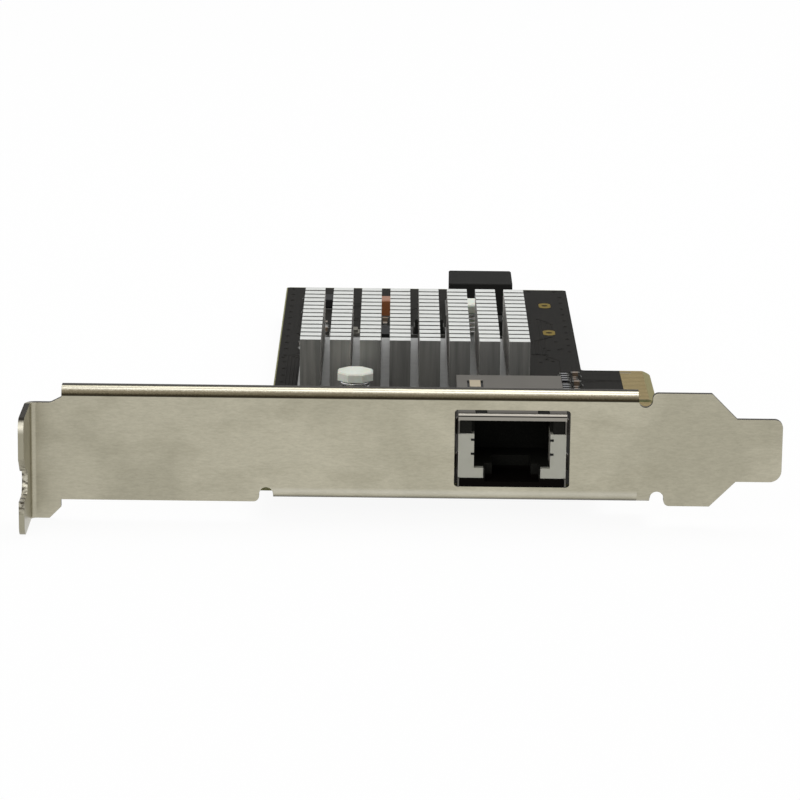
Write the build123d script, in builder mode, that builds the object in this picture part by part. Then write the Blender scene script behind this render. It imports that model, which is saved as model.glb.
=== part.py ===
# Network interface card: a folded bracket, one shielded RJ45 jack, a pin-fin heat sink.
# Millimetres. x runs across the card, towards the edge that plugs into the slot, y runs
# from the bracket to the rear edge, and z stands up from the component side. The origin is
# the middle of the key slot, on the outer edge of the connector, half way through the board.

from build123d import *

import os

os.makedirs("parts", exist_ok=True)

# Circuit board
board_thickness = 1.57
board_width = 54.7
board_length = 144.15
board_corner = 0.8
board_gap = 0.05            # between the bend of the bottom flange and the board's front edge

# Edge connector, four lanes
connector_reach = 12.25     # how far the connector stands out of the board
key_to_front = 12.15        # from the middle of the key slot to the two ends
key_to_rear = 22.15
key_width = 1.9
key_depth = 8.25
connector_corner = 1.5
connector_root = 0.7
bevel_depth = 1.3
bevel_height = 0.45
pad_pitch = 1.0
pad_width = 0.7
pad_length = 5.4            # from the outer edge to the inner end of a pad
short_pad_length = 3.4
pad_thickness = 0.05
pads_before_key = 11
pads_after_key = 21
key_to_pad = 1.5            # from the middle of the key slot to the first pad on each side

# Bracket, one folded sheet
sheet = 0.9
bend_inside = 0.8
bracket_length = 120.02
plate_width = 18.42
bracket_to_key = 57.15      # from the plate's front face to the middle of the key slot
tongue_beyond_edge = 15.87  # from the connector's outer edge to the tongue's end
board_to_plate_edge = 1.33  # from the board's solder side down to the plate's lower edge
tongue_width = 10.19
shoulder_from_end = 11.35
tongue_low_corner = 1.9
tongue_high_corner = 1.3
top_flange_depth = 2.6
top_flange_start = 5.8      # from the screw tab's outer face
top_flange_end = 22.92      # from the tongue's end
bottom_flange_depth = 7.6
bottom_flange_start = 2.1   # from the board's free long edge
bottom_flange_end = 20.82   # from the tongue's end
relief_radius = 1.1
relief_height = 2.35        # from the plate's edge to the far end of a relief
outer_rounding = 0.9
tab_reach = 11.43
tab_drop = 3.1              # how far the tab's end of the plate hangs below the rest
tab_top_step = 2.6          # how far it stays below the plate's upper edge
tab_rounding = 2.0
root_run = 1.75             # width of the slope between the tab's end and the top flange
root_rounding = 1.0
tab_end_length = 5.6
tab_end_chamfer = 1.85
notch_width = 4.42
notch_reach = 5.75          # from the tab's outer edge to the notch's round end
notch_height = 7.9          # from the plate's lowest edge to the middle of the notch
notch_flare = 2.4
window_margin_side = 0.55   # clearance between the window and the jack
window_margin_top = 0.5
window_margin_bottom = 0.05
window_corner = 0.5

# Bracket screws
screw_radius = 1.5
screw_hole_radius = 1.65
screw_thread_clearance = 0.05
screw_head_radius = 2.75
screw_head_height = 1.7
screw_head_edge = 0.6
screw_recess_radius = 1.3
screw_recess_slot = 0.65
screw_recess_depth = 1.0
screw_places = (6.0, 25.6)  # from the board's free long edge
screw_from_plate = 5.0
screw_tip = 0.35            # how far a screw's end shows below the flange

# RJ45 jack
jack_center = 40.0          # from the board's free long edge
jack_width = 17.2
jack_height = 12.0
jack_depth = 25.9
jack_proud = 0.4            # how far the shield stands out of the plate
shield_sheet = 0.25
shield_bend = 0.22
shield_lip = 1.1
jack_fit = 0.05             # clearance between the shield and what it holds
housing_depth = 14.2
cavity_width = 12.0
cavity_floor = 3.1          # from the board up
cavity_height = 7.7
cavity_depth = 13.0
latch_width = 8.6
latch_height = 2.25
latch_depth = 3.2
latch_inner_width = 6.2
latch_inner_depth = 8.5
lens_foot = 3.85            # from the shield's wall inwards
lens_foot_depth = 1.2
lens_bottom = 1.4           # from the board up
lens_top = 8.7
lens_depth = 7.0
lens_fit = 0.04
lens_rim_depth = 1.0        # the part of a lens that covers the front of the shield's wall
mouth_relief = 0.45         # how much wider the cavity's mouth is above the lenses
mouth_depth = 1.5
led_width = 1.8
led_height = 2.6
led_depth = 2.0
led_gap = 0.1
peg_radius = 1.5
peg_clearance = 0.12
peg_spacing = 11.43
peg_from_front = 10.0
peg_length = 2.4
contact_count = 8
contact_pitch = 1.02
contact_width = 0.46
contact_thickness = 0.32
contact_bend = 0.42
contact_front = 4.4         # from the jack's front face to the bend of a contact
contact_run = 6.6
contact_drop = 2.3
module_gap = 0.2
pin_size = 0.5
pin_hole = 0.8              # across the flats of the plain eight-sided hole
pin_hole_sides = 8
pin_below_board = 1.0
pin_rows = 2
pins_in_row = 6
pin_pitch = 2.04
pin_row_spacing = 2.54
pins_from_back = 3.2
tail_width = 1.3
tail_length = 2.6           # below the shield's lower edge
tail_hole_radius = 0.85
tails_from_front = (12.4, 20.5)
finger_width = 2.4
finger_heights = (2.75, 8.5)  # from the board up to each spring finger's lower edge
finger_corners = [           # each back from the jack's front and out from its wall
    (3.4, 0.0),
    (1.2, 0.4),
    (0.35, 0.16),
    (0.5, 0.08),
    (1.2, 0.2),
    (3.05, -0.12),
]
tongue_gap = 0.4            # round the tongue that is left in the window in the shield's top
top_window = (-5.6, 17.6, 2.6, 4.8)  # middle across the jack, start behind its front, width, length
front_slots = [(-4.95, 0.35, 1.9, 3.6), (4.95, 0.35, 1.9, 3.6)]

# Controller chip and its heat sink
chip_width = 21.0
substrate_thickness = 0.7
cap_width = 17.0
cap_thickness = 1.25
cap_edge = 0.2
pad_sheet = 0.35
pad_sheet_inset = 0.5
sink_center_x = 24.65       # from the board's free long edge
sink_center_y = 58.75       # from the board's front edge
fin_columns = 8
fin_rows = 14
fin_pitch_x = 5.04
fin_pitch_y = 2.975
fin_width = 3.52
fin_depth = 2.07
fin_height = 9.2
fin_margin = 0.5            # base left bare round the fins
sink_base = 2.8
ear_radius = 4.2
ear_x = 9.95                # from the sink's middle to a push pin
ear_y = 26.8

# Push pins and springs
pin_head = 5.9              # across flats
pin_head_sides = 8
pin_head_thickness = 1.5
pin_head_edge = 0.25
pin_head_above_base = 4.0
shank_radius = 1.45
shank_hole_radius = 1.7
barb_radius = 2.0
barb_length = 2.3
barb_tip_radius = 0.9
barb_slot = 0.7
barb_gap = 0.1
spring_outer = 2.55
spring_inner = 1.75
spring_gap = 0.05

# Large power inductor
inductor_x = 31.33          # from the board's free long edge to its left side
inductor_y = 121.25         # from the board's front edge to its front
inductor_width = 12.4
inductor_depth = 12.0
inductor_height = 6.1
inductor_edge = 0.5
terminal_width = 4.6
terminal_sheet = 0.2
terminal_height = 2.6
terminal_foot = 2.8
body_edge = 0.15            # chamfer round the top of a moulded body

# Smaller components: (length, width, height) of each kind, and where the middles lie.
# Places are measured from the board's free long edge and from its front edge, and the
# last number turns the component about z.
tantalum_size = (7.3, 4.3, 2.9)
tantalum_places = [(19.6, 122.05, 0)]
tantalum_terminal_width = 2.4
tantalum_terminal_height = 1.4
coil_size = (5.2, 5.2, 2.8)
coil_places = [(27.6, 107.4, 0), (41.5, 106.6, 0)]
coil_terminal_width = 3.4
coil_terminal_height = 1.2
regulator_size = (7.0, 7.0, 0.9)
regulator_places = [(19.3, 104.2, 0)]
small_regulator_size = (3.6, 3.6, 0.9)
small_regulator_places = [(36.2, 107.2, 0), (11.0, 92.0, 0)]
memory_size = (4.0, 5.0, 1.5)
memory_place = (9.6, 128.2)
memory_lead_width = 0.42
memory_lead_pitch = 1.27
memory_lead_reach = 1.05
memory_lead_knee = 0.47      # from the body out to the bend
memory_lead_top = 0.68       # from the body's underside up to where a lead leaves it
memory_lead_sheet = 0.2
memory_leads_a_side = 4
crystal_size = (5.0, 3.2, 1.1)
crystal_place = (12.2, 104.2)
crystal_rim = 0.35
ceramic_size = (1.6, 0.8, 0.8)
ceramic_end = 0.32
ceramic_places = [
    (19.4, 110.6, 90),
    (19.4, 114.9, 0),
    (8.2, 106.2, 0),
    (8.2, 111.0, 90),
    (28.2, 137.4, 0),
    (27.6, 112.2, 0),
    (33.2, 104.2, 90),
    (33.2, 109.6, 90),
    (41.5, 112.0, 0),
    (16.6, 98.9, 90),
    (27.6, 99.6, 90),
    (16.6, 134.6, 0),
    (53.4, 59.7, 0),
    (53.4, 66.2, 0),
    (53.4, 72.8, 0),
    (4.2, 92.6, 90),
    (4.2, 97.4, 90),
]
coupling_size = (1.0, 0.5, 0.5)
coupling_end = 0.22
coupling_from_right = 1.5
coupling_first = 48.0       # from the board's front edge
coupling_lane = 7.0
coupling_pair = 1.4
lanes = 4
resistor_size = (1.6, 0.8, 0.45)
resistor_end = 0.3
resistor_places = [
    (27.6, 121.6, 0),
    (27.6, 124.2, 0),
    (27.6, 126.8, 0),
    (27.6, 129.4, 0),
    (27.6, 132.0, 0),
    (51.4, 60.4, 0),
    (51.4, 62.0, 0),
    (51.4, 63.6, 0),
    (51.4, 65.2, 0),
    (51.4, 68.4, 0),
    (51.4, 70.0, 0),
    (51.4, 71.6, 0),
    (51.4, 73.2, 0),
    (4.4, 122.0, 0),
    (4.4, 134.2, 0),
    (39.8, 98.4, 0),
    (39.8, 101.0, 0),
]
under_places = [
    (18.6, 53.0, 0),
    (18.6, 57.0, 0),
    (18.6, 61.0, 0),
    (18.6, 65.0, 0),
    (30.6, 53.0, 0),
    (30.6, 57.0, 0),
    (30.6, 61.0, 0),
    (30.6, 65.0, 0),
]

# Where things lie, worked out from the sizes above
edge = 0.0
board_right = edge - connector_reach
board_left = board_right - board_width
tab_face = edge + tongue_beyond_edge - bracket_length
plate_front = -bracket_to_key
plate_back = plate_front + sheet
board_front = plate_back + bend_inside + board_gap
board_back = board_front + board_length
board_top = board_thickness / 2
board_bottom = -board_top
plate_low = board_bottom - board_to_plate_edge
plate_high = plate_low + plate_width
bend_outside = bend_inside + sheet
jack_x = board_left + jack_center
jack_front = plate_front - jack_proud
jack_back = jack_front + jack_depth
jack_top = board_top + jack_height
sink_x = board_left + sink_center_x
sink_y = board_front + sink_center_y
chip_top = board_top + substrate_thickness + cap_thickness
base_low = chip_top + pad_sheet
base_high = base_low + sink_base
push_places = [(sink_x - ear_x, sink_y - ear_y), (sink_x + ear_x, sink_y + ear_y)]
peg_places = [(jack_x + side * peg_spacing / 2, jack_front + peg_from_front) for side in (-1, 1)]
screw_points = [(board_left + place, plate_back + screw_from_plate) for place in screw_places]
pin_places = [
    (
        jack_x + (column - (pins_in_row - 1) / 2 + (row - 0.5) / 2) * pin_pitch,
        jack_back - pins_from_back - row * pin_row_spacing,
    )
    for row in range(pin_rows)
    for column in range(pins_in_row)
]
tail_places = [
    (jack_x + side * (jack_width - shield_sheet) / 2, jack_front + along)
    for side in (-1, 1)
    for along in tails_from_front
]
on_base = (Align.CENTER, Align.CENTER, Align.MIN)


def block(low, high, mode=Mode.ADD):
    """A straight-sided block between two opposite corners."""
    size = [b - a for a, b in zip(low, high)]
    with Locations(tuple(low)):
        Box(*size, align=(Align.MIN, Align.MIN, Align.MIN), mode=mode)


def corners_at(sketch, *points):
    """The sketch's corners that lie on these points."""
    return [sketch.vertices().sort_by_distance(point)[0] for point in points]


def save(part, name):
    part.label = name
    export_step(part, "parts/" + name + ".step")


# Circuit board
with BuildPart() as circuit_board:
    with BuildSketch(Plane.XY.offset(board_bottom)) as board_outline:
        with BuildLine():
            Polyline(
                (board_left, board_front),
                (board_right, board_front),
                (board_right, -key_to_front),
                (edge, -key_to_front),
                (edge, key_to_rear),
                (board_right, key_to_rear),
                (board_right, board_back),
                (board_left, board_back),
                close=True,
            )
        make_face()
        for corners, radius in (
            (((edge, -key_to_front), (edge, key_to_rear)), connector_corner),
            (((board_right, -key_to_front), (board_right, key_to_rear)), connector_root),
            (((board_left, board_back), (board_right, board_back)), board_corner),
        ):
            fillet(corners_at(board_outline, *corners), radius)
    extrude(amount=board_thickness)
    block(
        (edge - key_depth, -key_width / 2, board_bottom),
        (edge, key_width / 2, board_top),
        mode=Mode.SUBTRACT,
    )
    for side in (-1, 1):
        with BuildSketch(Plane.XZ.offset(-key_to_rear)):
            with BuildLine():
                Polyline(
                    (edge, side * board_top),
                    (edge, side * (board_top - bevel_height)),
                    (edge - bevel_depth, side * board_top),
                    close=True,
                )
            make_face()
        extrude(amount=key_to_rear + key_to_front, mode=Mode.SUBTRACT)
    board_holes = [
        (push_places, shank_hole_radius),
        (screw_points, screw_hole_radius),
        (peg_places, peg_radius + peg_clearance),
        (tail_places, tail_hole_radius),
    ]
    for places, radius in board_holes:
        with Locations(*[(x, y, board_bottom) for x, y in places]):
            Cylinder(radius, board_thickness, align=on_base, mode=Mode.SUBTRACT)
    with BuildSketch(Plane.XY.offset(board_bottom)):
        with Locations(*pin_places):
            RegularPolygon(pin_hole / 2, pin_hole_sides, major_radius=False)
    extrude(amount=board_thickness, mode=Mode.SUBTRACT)
save(circuit_board.part, "circuit_board")

# Gold pads of the connector, on both faces of the board
with BuildPart() as edge_contacts:
    for side, short_pads in ((1, (17, 31)), (-1, (1,))):
        for number in range(1, pads_before_key + pads_after_key + 1):
            if number <= pads_before_key:
                pad_y = (number - pads_before_key) * pad_pitch - key_to_pad
            else:
                pad_y = (number - pads_before_key - 1) * pad_pitch + key_to_pad
            length = short_pad_length if number in short_pads else pad_length
            low_z = board_top if side > 0 else board_bottom - pad_thickness
            block(
                (edge - length, pad_y - pad_width / 2, low_z),
                (edge - bevel_depth, pad_y + pad_width / 2, low_z + pad_thickness),
            )
save(edge_contacts.part, "edge_contacts")

# Bracket: the plate, its two flanges, the screw tab and the tongue are one sheet
bend_low = board_bottom - sheet + bend_outside
bend_high = plate_high - bend_outside
end_low = plate_low - tab_drop
end_high = plate_high - tab_top_step
tab_edge = plate_front - tab_reach
shoulder = (plate_width - tongue_width) / 2
tongue_end = edge + tongue_beyond_edge
shoulder_x = tongue_end - shoulder_from_end
top_start, top_end = tab_face + top_flange_start, tongue_end - top_flange_end
bottom_start, bottom_end = board_left + bottom_flange_start, tongue_end - bottom_flange_end


def bend(center, quadrant, flat_low, flat_high):
    """A quarter bend round its centre, and the flat strip that follows it."""
    with Locations(center):
        Circle(bend_outside)
        Circle(bend_inside, mode=Mode.SUBTRACT)
        Rectangle(
            bend_outside,
            bend_outside,
            align=(
                Align.MAX if quadrant[0] < 0 else Align.MIN,
                Align.MAX if quadrant[1] < 0 else Align.MIN,
            ),
            mode=Mode.INTERSECT,
        )
    with Locations(flat_low):
        Rectangle(flat_high[0] - flat_low[0], flat_high[1] - flat_low[1], align=(Align.MIN, Align.MIN))


with BuildPart() as screw_tab:
    with BuildSketch(Plane.XY.offset(end_low)):
        bend(
            (tab_face + bend_outside, plate_back - bend_outside),
            (-1, 1),
            (tab_face, tab_edge),
            (tab_face + sheet, plate_back - bend_outside),
        )
    extrude(amount=end_high - end_low)
    with BuildSketch(Plane.YZ.offset(tab_face)) as tab_outline:
        with BuildLine():
            Polyline(
                (plate_back, end_low),
                (tab_edge, end_low),
                (tab_edge, end_high),
                (plate_back, end_high),
                close=True,
            )
        make_face()
        fillet(corners_at(tab_outline, (tab_edge, end_low), (tab_edge, end_high)), tab_rounding)
        notch_z = end_low + notch_height
        with Locations((tab_edge + notch_reach - notch_width / 2, notch_z)):
            Circle(notch_width / 2, mode=Mode.SUBTRACT)
            Rectangle(notch_reach, notch_width, align=(Align.MAX, Align.CENTER), mode=Mode.SUBTRACT)
        with BuildLine():
            Polyline(
                (tab_edge, notch_z),
                (tab_edge + notch_flare, notch_z),
                (tab_edge + notch_flare, notch_z + notch_width / 2),
                (tab_edge, notch_z + notch_width / 2 + notch_flare),
                close=True,
            )
        make_face(mode=Mode.SUBTRACT)
    extrude(amount=bend_outside, mode=Mode.INTERSECT)

with BuildPart() as bracket:
    with BuildSketch(Plane.XZ.offset(-plate_back)) as plate_outline:
        with BuildLine():
            Polyline(
                (tab_face + bend_outside, end_low),
                (tab_face + tab_end_length - tab_end_chamfer, end_low),
                (tab_face + tab_end_length, end_low + tab_end_chamfer),
                (tab_face + tab_end_length, plate_low),
                (bottom_start, plate_low),
                (bottom_start, bend_low),
                (bottom_end, bend_low),
                (bottom_end, plate_low),
                (shoulder_x, plate_low),
                (shoulder_x + shoulder, plate_low + shoulder),
                (tongue_end, plate_low + shoulder),
                (tongue_end, plate_high - shoulder),
                (shoulder_x + shoulder, plate_high - shoulder),
                (shoulder_x, plate_high),
                (top_end, plate_high),
                (top_end, bend_high),
                (top_start, bend_high),
                (top_start - root_run, end_high),
                (tab_face + bend_outside, end_high),
                close=True,
            )
        make_face()
        for corner, radius in (
            ((tongue_end, plate_low + shoulder), tongue_low_corner),
            ((tongue_end, plate_high - shoulder), tongue_high_corner),
            ((top_start - root_run, end_high), root_rounding),
        ):
            fillet(corners_at(plate_outline, corner), radius)
        for relief_x, side, from_edge, up in (
            (bottom_start - relief_radius, -1, plate_low, 1),
            (bottom_end + relief_radius, 1, plate_low, 1),
            (top_end + relief_radius, 1, plate_high, -1),
        ):
            straight = relief_height - relief_radius
            with Locations((relief_x, from_edge + up * straight)):
                Circle(relief_radius, mode=Mode.SUBTRACT)
            with Locations((relief_x, from_edge + up * straight / 2)):
                Rectangle(2 * relief_radius, straight, mode=Mode.SUBTRACT)
            fillet(corners_at(plate_outline, (relief_x + side * relief_radius, from_edge)), outer_rounding)
        window_low = board_top - window_margin_bottom
        window_high = jack_top + window_margin_top
        with Locations((jack_x, (window_low + window_high) / 2)):
            RectangleRounded(
                jack_width + 2 * window_margin_side,
                window_high - window_low,
                window_corner,
                mode=Mode.SUBTRACT,
            )
    extrude(amount=sheet)
    with BuildSketch(Plane.YZ.offset(top_start)):
        bend(
            (plate_front + bend_outside, bend_high),
            (-1, 1),
            (plate_front + bend_outside, plate_high - sheet),
            (plate_front + top_flange_depth, plate_high),
        )
    extrude(amount=top_end - top_start)
    with BuildSketch(Plane.YZ.offset(bottom_start)):
        bend(
            (plate_front + bend_outside, bend_low),
            (-1, -1),
            (plate_front + bend_outside, board_bottom - sheet),
            (plate_front + bottom_flange_depth, board_bottom),
        )
    extrude(amount=bottom_end - bottom_start)
    add(screw_tab.part)
    with Locations(*[(x, y, board_bottom - sheet) for x, y in screw_points]):
        Cylinder(screw_radius + screw_thread_clearance, sheet, align=on_base, mode=Mode.SUBTRACT)
save(bracket.part, "bracket")

# Screws that hold the board on the bottom flange
with BuildPart() as bracket_screws:
    for x, y in screw_points:
        tip = board_bottom - sheet - screw_tip
        with Locations((x, y, tip)):
            Cylinder(screw_radius, board_top - tip, align=on_base)
        with Locations((x, y, board_top)):
            Cylinder(screw_head_radius, screw_head_height - screw_head_edge, align=on_base)
        with Locations((x, y, board_top + screw_head_height - screw_head_edge)):
            Cone(
                screw_head_radius,
                screw_head_radius - screw_head_edge,
                screw_head_edge,
                align=on_base,
            )
        half_slot = screw_recess_slot / 2
        for wide, deep in ((screw_recess_radius, half_slot), (half_slot, screw_recess_radius)):
            block(
                (x - wide, y - deep, board_top + screw_head_height - screw_recess_depth),
                (x + wide, y + deep, board_top + screw_head_height),
                mode=Mode.SUBTRACT,
            )
save(bracket_screws.part, "bracket_screws")

# RJ45 jack: a folded shield over a moulded housing and a module of transformers
half_jack = jack_width / 2
half_inside = half_jack - shield_sheet - jack_fit
inside_top = jack_top - shield_sheet - jack_fit
housing_front = jack_front + shield_sheet + jack_fit
housing_back = jack_front + housing_depth
cavity_low = board_top + cavity_floor
cavity_high = cavity_low + cavity_height
half_cavity = cavity_width / 2

with BuildPart() as jack_shield:
    block((jack_x - half_jack, jack_front, board_top), (jack_x + half_jack, jack_back, jack_top))
    top_front = jack_shield.edges().filter_by(Axis.X).group_by(Axis.Y)[0].sort_by(Axis.Z)[-1]
    fillet(top_front, shield_bend)
    block(
        (jack_x - half_jack + shield_sheet, jack_front, board_top),
        (jack_x + half_jack - shield_sheet, jack_back - shield_sheet, jack_top - shield_sheet),
        mode=Mode.SUBTRACT,
    )
    block(
        (jack_x - half_jack + shield_sheet, jack_front, jack_top - shield_lip),
        (jack_x + half_jack - shield_sheet, jack_front + shield_sheet, jack_top - shield_bend),
    )
    for across, start, width, length in [top_window] + front_slots:
        block(
            (jack_x + across - width / 2, jack_front + start, jack_top - shield_sheet),
            (jack_x + across + width / 2, jack_front + start + length, jack_top),
            mode=Mode.SUBTRACT,
        )
    across, start, width, length = top_window
    half_tongue = width / 2 - tongue_gap
    block(
        (jack_x + across - half_tongue, jack_front + start + tongue_gap, jack_top - shield_sheet),
        (jack_x + across + half_tongue, jack_front + start + length, jack_top),
    )
    # the walls' front edges make room for the lenses
    for side in (-1, 1):
        wall = jack_x + side * half_jack
        inside = wall - side * shield_sheet
        block(
            (min(wall, inside), jack_front, board_top + lens_bottom),
            (max(wall, inside), housing_front + lens_rim_depth, board_top + lens_top),
            mode=Mode.SUBTRACT,
        )
    for x, y in tail_places:
        block(
            (x - shield_sheet / 2, y - tail_width / 2, board_top - tail_length),
            (x + shield_sheet / 2, y + tail_width / 2, board_top + shield_sheet),
        )
    # spring fingers that press on the bracket's window
    for side in (-1, 1):
        wall = jack_x + side * half_jack
        for height in finger_heights:
            with BuildSketch(Plane.XY.offset(board_top + height)):
                with BuildLine():
                    Polyline(
                        *[(wall + side * out, jack_front + back) for back, out in finger_corners],
                        close=True,
                    )
                make_face()
            extrude(amount=finger_width)
save(jack_shield.part, "jack_shield")

with BuildPart() as jack_housing:
    block(
        (jack_x - half_inside, housing_front, board_top),
        (jack_x + half_inside, housing_back, inside_top),
    )
    block(
        (jack_x - half_cavity, housing_front, cavity_low),
        (jack_x + half_cavity, jack_front + cavity_depth, cavity_high),
        mode=Mode.SUBTRACT,
    )
    block(
        (jack_x - half_cavity - mouth_relief, housing_front, board_top + lens_top),
        (jack_x + half_cavity + mouth_relief, housing_front + mouth_depth, cavity_high),
        mode=Mode.SUBTRACT,
    )
    block(
        (jack_x - latch_width / 2, housing_front, cavity_low - latch_height),
        (jack_x + latch_width / 2, jack_front + latch_depth, cavity_low),
        mode=Mode.SUBTRACT,
    )
    block(
        (jack_x - latch_inner_width / 2, housing_front, cavity_low - latch_height),
        (jack_x + latch_inner_width / 2, jack_front + latch_inner_depth, cavity_low),
        mode=Mode.SUBTRACT,
    )
    for side in (-1, 1):
        outer = jack_x + side * half_inside
        inner = jack_x + side * half_cavity
        foot = jack_x + side * (half_jack - shield_sheet - lens_foot)
        block(
            (min(outer, inner), housing_front, board_top + lens_bottom),
            (max(outer, inner), housing_front + lens_depth, board_top + lens_top),
            mode=Mode.SUBTRACT,
        )
        block(
            (min(outer, foot), housing_front, board_top + lens_bottom),
            (max(outer, foot), housing_front + lens_foot_depth, cavity_low),
            mode=Mode.SUBTRACT,
        )
        led_x = (outer + inner) / 2
        block(
            (led_x - led_width / 2 - jack_fit, housing_front, cavity_low),
            (
                led_x + led_width / 2 + jack_fit,
                housing_front + lens_depth + led_depth + 2 * led_gap,
                cavity_low + led_height + jack_fit,
            ),
            mode=Mode.SUBTRACT,
        )
    with Locations(*[(x, y, board_top - peg_length) for x, y in peg_places]):
        Cylinder(peg_radius, peg_length, align=on_base)
save(jack_housing.part, "jack_housing")

for name, side in (("jack_lens_left", -1), ("jack_lens_right", 1)):
    with BuildPart() as jack_lens:
        outer = jack_x + side * half_inside
        inner = jack_x + side * (half_cavity + lens_fit)
        foot = jack_x + side * (half_jack - shield_sheet - lens_foot + lens_fit)
        lens_back = housing_front + lens_depth - lens_fit
        block(
            (min(outer, inner), housing_front, board_top + lens_bottom + lens_fit),
            (max(outer, inner), lens_back, board_top + lens_top - lens_fit),
        )
        rim = jack_x + side * (half_jack - lens_fit)
        block(
            (min(rim, inner), housing_front, board_top + lens_bottom + lens_fit),
            (max(rim, inner), housing_front + lens_rim_depth - lens_fit, board_top + lens_top - lens_fit),
        )
        block(
            (min(outer, foot), housing_front, board_top + lens_bottom + lens_fit),
            (max(outer, foot), housing_front + lens_foot_depth - lens_fit, cavity_low - lens_fit),
        )
    save(jack_lens.part, name)

with BuildPart() as jack_leds:
    for side in (-1, 1):
        led_x = jack_x + side * (half_inside + half_cavity) / 2
        led_front = housing_front + lens_depth + led_gap
        block(
            (led_x - led_width / 2, led_front, cavity_low),
            (led_x + led_width / 2, led_front + led_depth, cavity_low + led_height),
        )
save(jack_leds.part, "jack_leds")

with BuildPart() as jack_contacts:
    for index in range(contact_count):
        contact_x = jack_x + (index - (contact_count - 1) / 2) * contact_pitch
        roof = cavity_high - contact_thickness / 2
        bend_y = jack_front + contact_front
        with BuildSketch(Plane.YZ.offset(contact_x - contact_width / 2)):
            with BuildLine():
                Polyline(
                    (jack_front + cavity_depth, roof),
                    (bend_y + contact_bend, roof),
                    (bend_y, roof - contact_bend),
                    (bend_y + contact_bend, roof - 2 * contact_bend),
                    (bend_y + contact_run, roof - contact_drop),
                )
            trace(line_width=contact_thickness)
        extrude(amount=contact_width)
save(jack_contacts.part, "jack_contacts")

with BuildPart() as jack_module:
    block(
        (jack_x - half_inside, housing_back + module_gap, board_top),
        (jack_x + half_inside, jack_back - shield_sheet - jack_fit, inside_top),
    )
save(jack_module.part, "jack_module")

with BuildPart() as jack_pins:
    for x, y in pin_places:
        block(
            (x - pin_size / 2, y - pin_size / 2, board_bottom - pin_below_board),
            (x + pin_size / 2, y + pin_size / 2, board_top),
        )
save(jack_pins.part, "jack_pins")

# Controller chip, heat pad and pin-fin heat sink
with BuildPart() as controller_substrate:
    block(
        (sink_x - chip_width / 2, sink_y - chip_width / 2, board_top),
        (sink_x + chip_width / 2, sink_y + chip_width / 2, board_top + substrate_thickness),
    )
save(controller_substrate.part, "controller_substrate")

with BuildPart() as controller_cap:
    with BuildSketch(Plane.XY.offset(board_top + substrate_thickness)):
        with Locations((sink_x, sink_y)):
            Rectangle(cap_width, cap_width)
    extrude(amount=cap_thickness)
    chamfer(controller_cap.faces().sort_by(Axis.Z)[-1].edges(), cap_edge)
save(controller_cap.part, "controller_cap")

with BuildPart() as thermal_pad:
    with BuildSketch(Plane.XY.offset(chip_top)):
        with Locations((sink_x, sink_y)):
            Rectangle(cap_width - 2 * pad_sheet_inset, cap_width - 2 * pad_sheet_inset)
    extrude(amount=pad_sheet)
save(thermal_pad.part, "thermal_pad")

field_x = (fin_columns - 1) * fin_pitch_x + fin_width
field_y = (fin_rows - 1) * fin_pitch_y + fin_depth
with BuildPart() as heat_sink:
    with BuildSketch(Plane.XY.offset(base_low)):
        with Locations((sink_x, sink_y)):
            Rectangle(field_x + 2 * fin_margin, field_y + 2 * fin_margin)
        for x, y in push_places:
            with Locations((x, y)):
                Circle(ear_radius)
            with Locations((x, (y + sink_y) / 2)):
                Rectangle(2 * ear_radius, abs(y - sink_y))
        with Locations(*push_places):
            Circle(shank_hole_radius, mode=Mode.SUBTRACT)
    extrude(amount=sink_base)
    with BuildSketch(Plane.XY.offset(base_high)):
        with Locations((sink_x, sink_y)):
            with GridLocations(fin_pitch_x, fin_pitch_y, fin_columns, fin_rows):
                Rectangle(fin_width, fin_depth)
    extrude(amount=fin_height)
save(heat_sink.part, "heat_sink")

# Push pins and their springs
head_low = base_high + pin_head_above_base
barb_high = board_bottom - barb_gap
with BuildPart() as push_pins:
    for x, y in push_places:
        with BuildSketch(Plane.XY.offset(head_low)):
            with Locations((x, y)):
                RegularPolygon(
                    pin_head / 2,
                    pin_head_sides,
                    major_radius=False,
                    rotation=180 / pin_head_sides,
                )
        extrude(amount=pin_head_thickness)
        with Locations((x, y, barb_high)):
            Cylinder(shank_radius, head_low - barb_high, align=on_base)
        with Locations((x, y, barb_high - barb_length)):
            Cone(barb_tip_radius, barb_radius, barb_length, align=on_base)
        block(
            (x - barb_slot / 2, y - barb_radius, barb_high - barb_length),
            (x + barb_slot / 2, y + barb_radius, board_top),
            mode=Mode.SUBTRACT,
        )
    head_rims = push_pins.faces().group_by(Axis.Z)[-1].edges()
    chamfer(head_rims, pin_head_edge)
save(push_pins.part, "push_pins")

with BuildPart() as push_pin_springs:
    for x, y in push_places:
        with BuildSketch(Plane.XY.offset(base_high + spring_gap)):
            with Locations((x, y)):
                Circle(spring_outer)
                Circle(spring_inner, mode=Mode.SUBTRACT)
        extrude(amount=pin_head_above_base - 2 * spring_gap)
save(push_pin_springs.part, "push_pin_springs")

# Large power inductor: a moulded block on two folded terminals
inductor_left = board_left + inductor_x
inductor_front = board_front + inductor_y
with BuildPart() as power_inductor:
    with BuildSketch(Plane.XY.offset(board_top + terminal_sheet)):
        with Locations((inductor_left + inductor_width / 2, inductor_front + inductor_depth / 2)):
            RectangleRounded(inductor_width - 2 * terminal_sheet, inductor_depth, inductor_edge)
    extrude(amount=inductor_height - terminal_sheet)
    chamfer(power_inductor.faces().sort_by(Axis.Z)[-1].edges(), body_edge)
save(power_inductor.part, "power_inductor")

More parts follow.
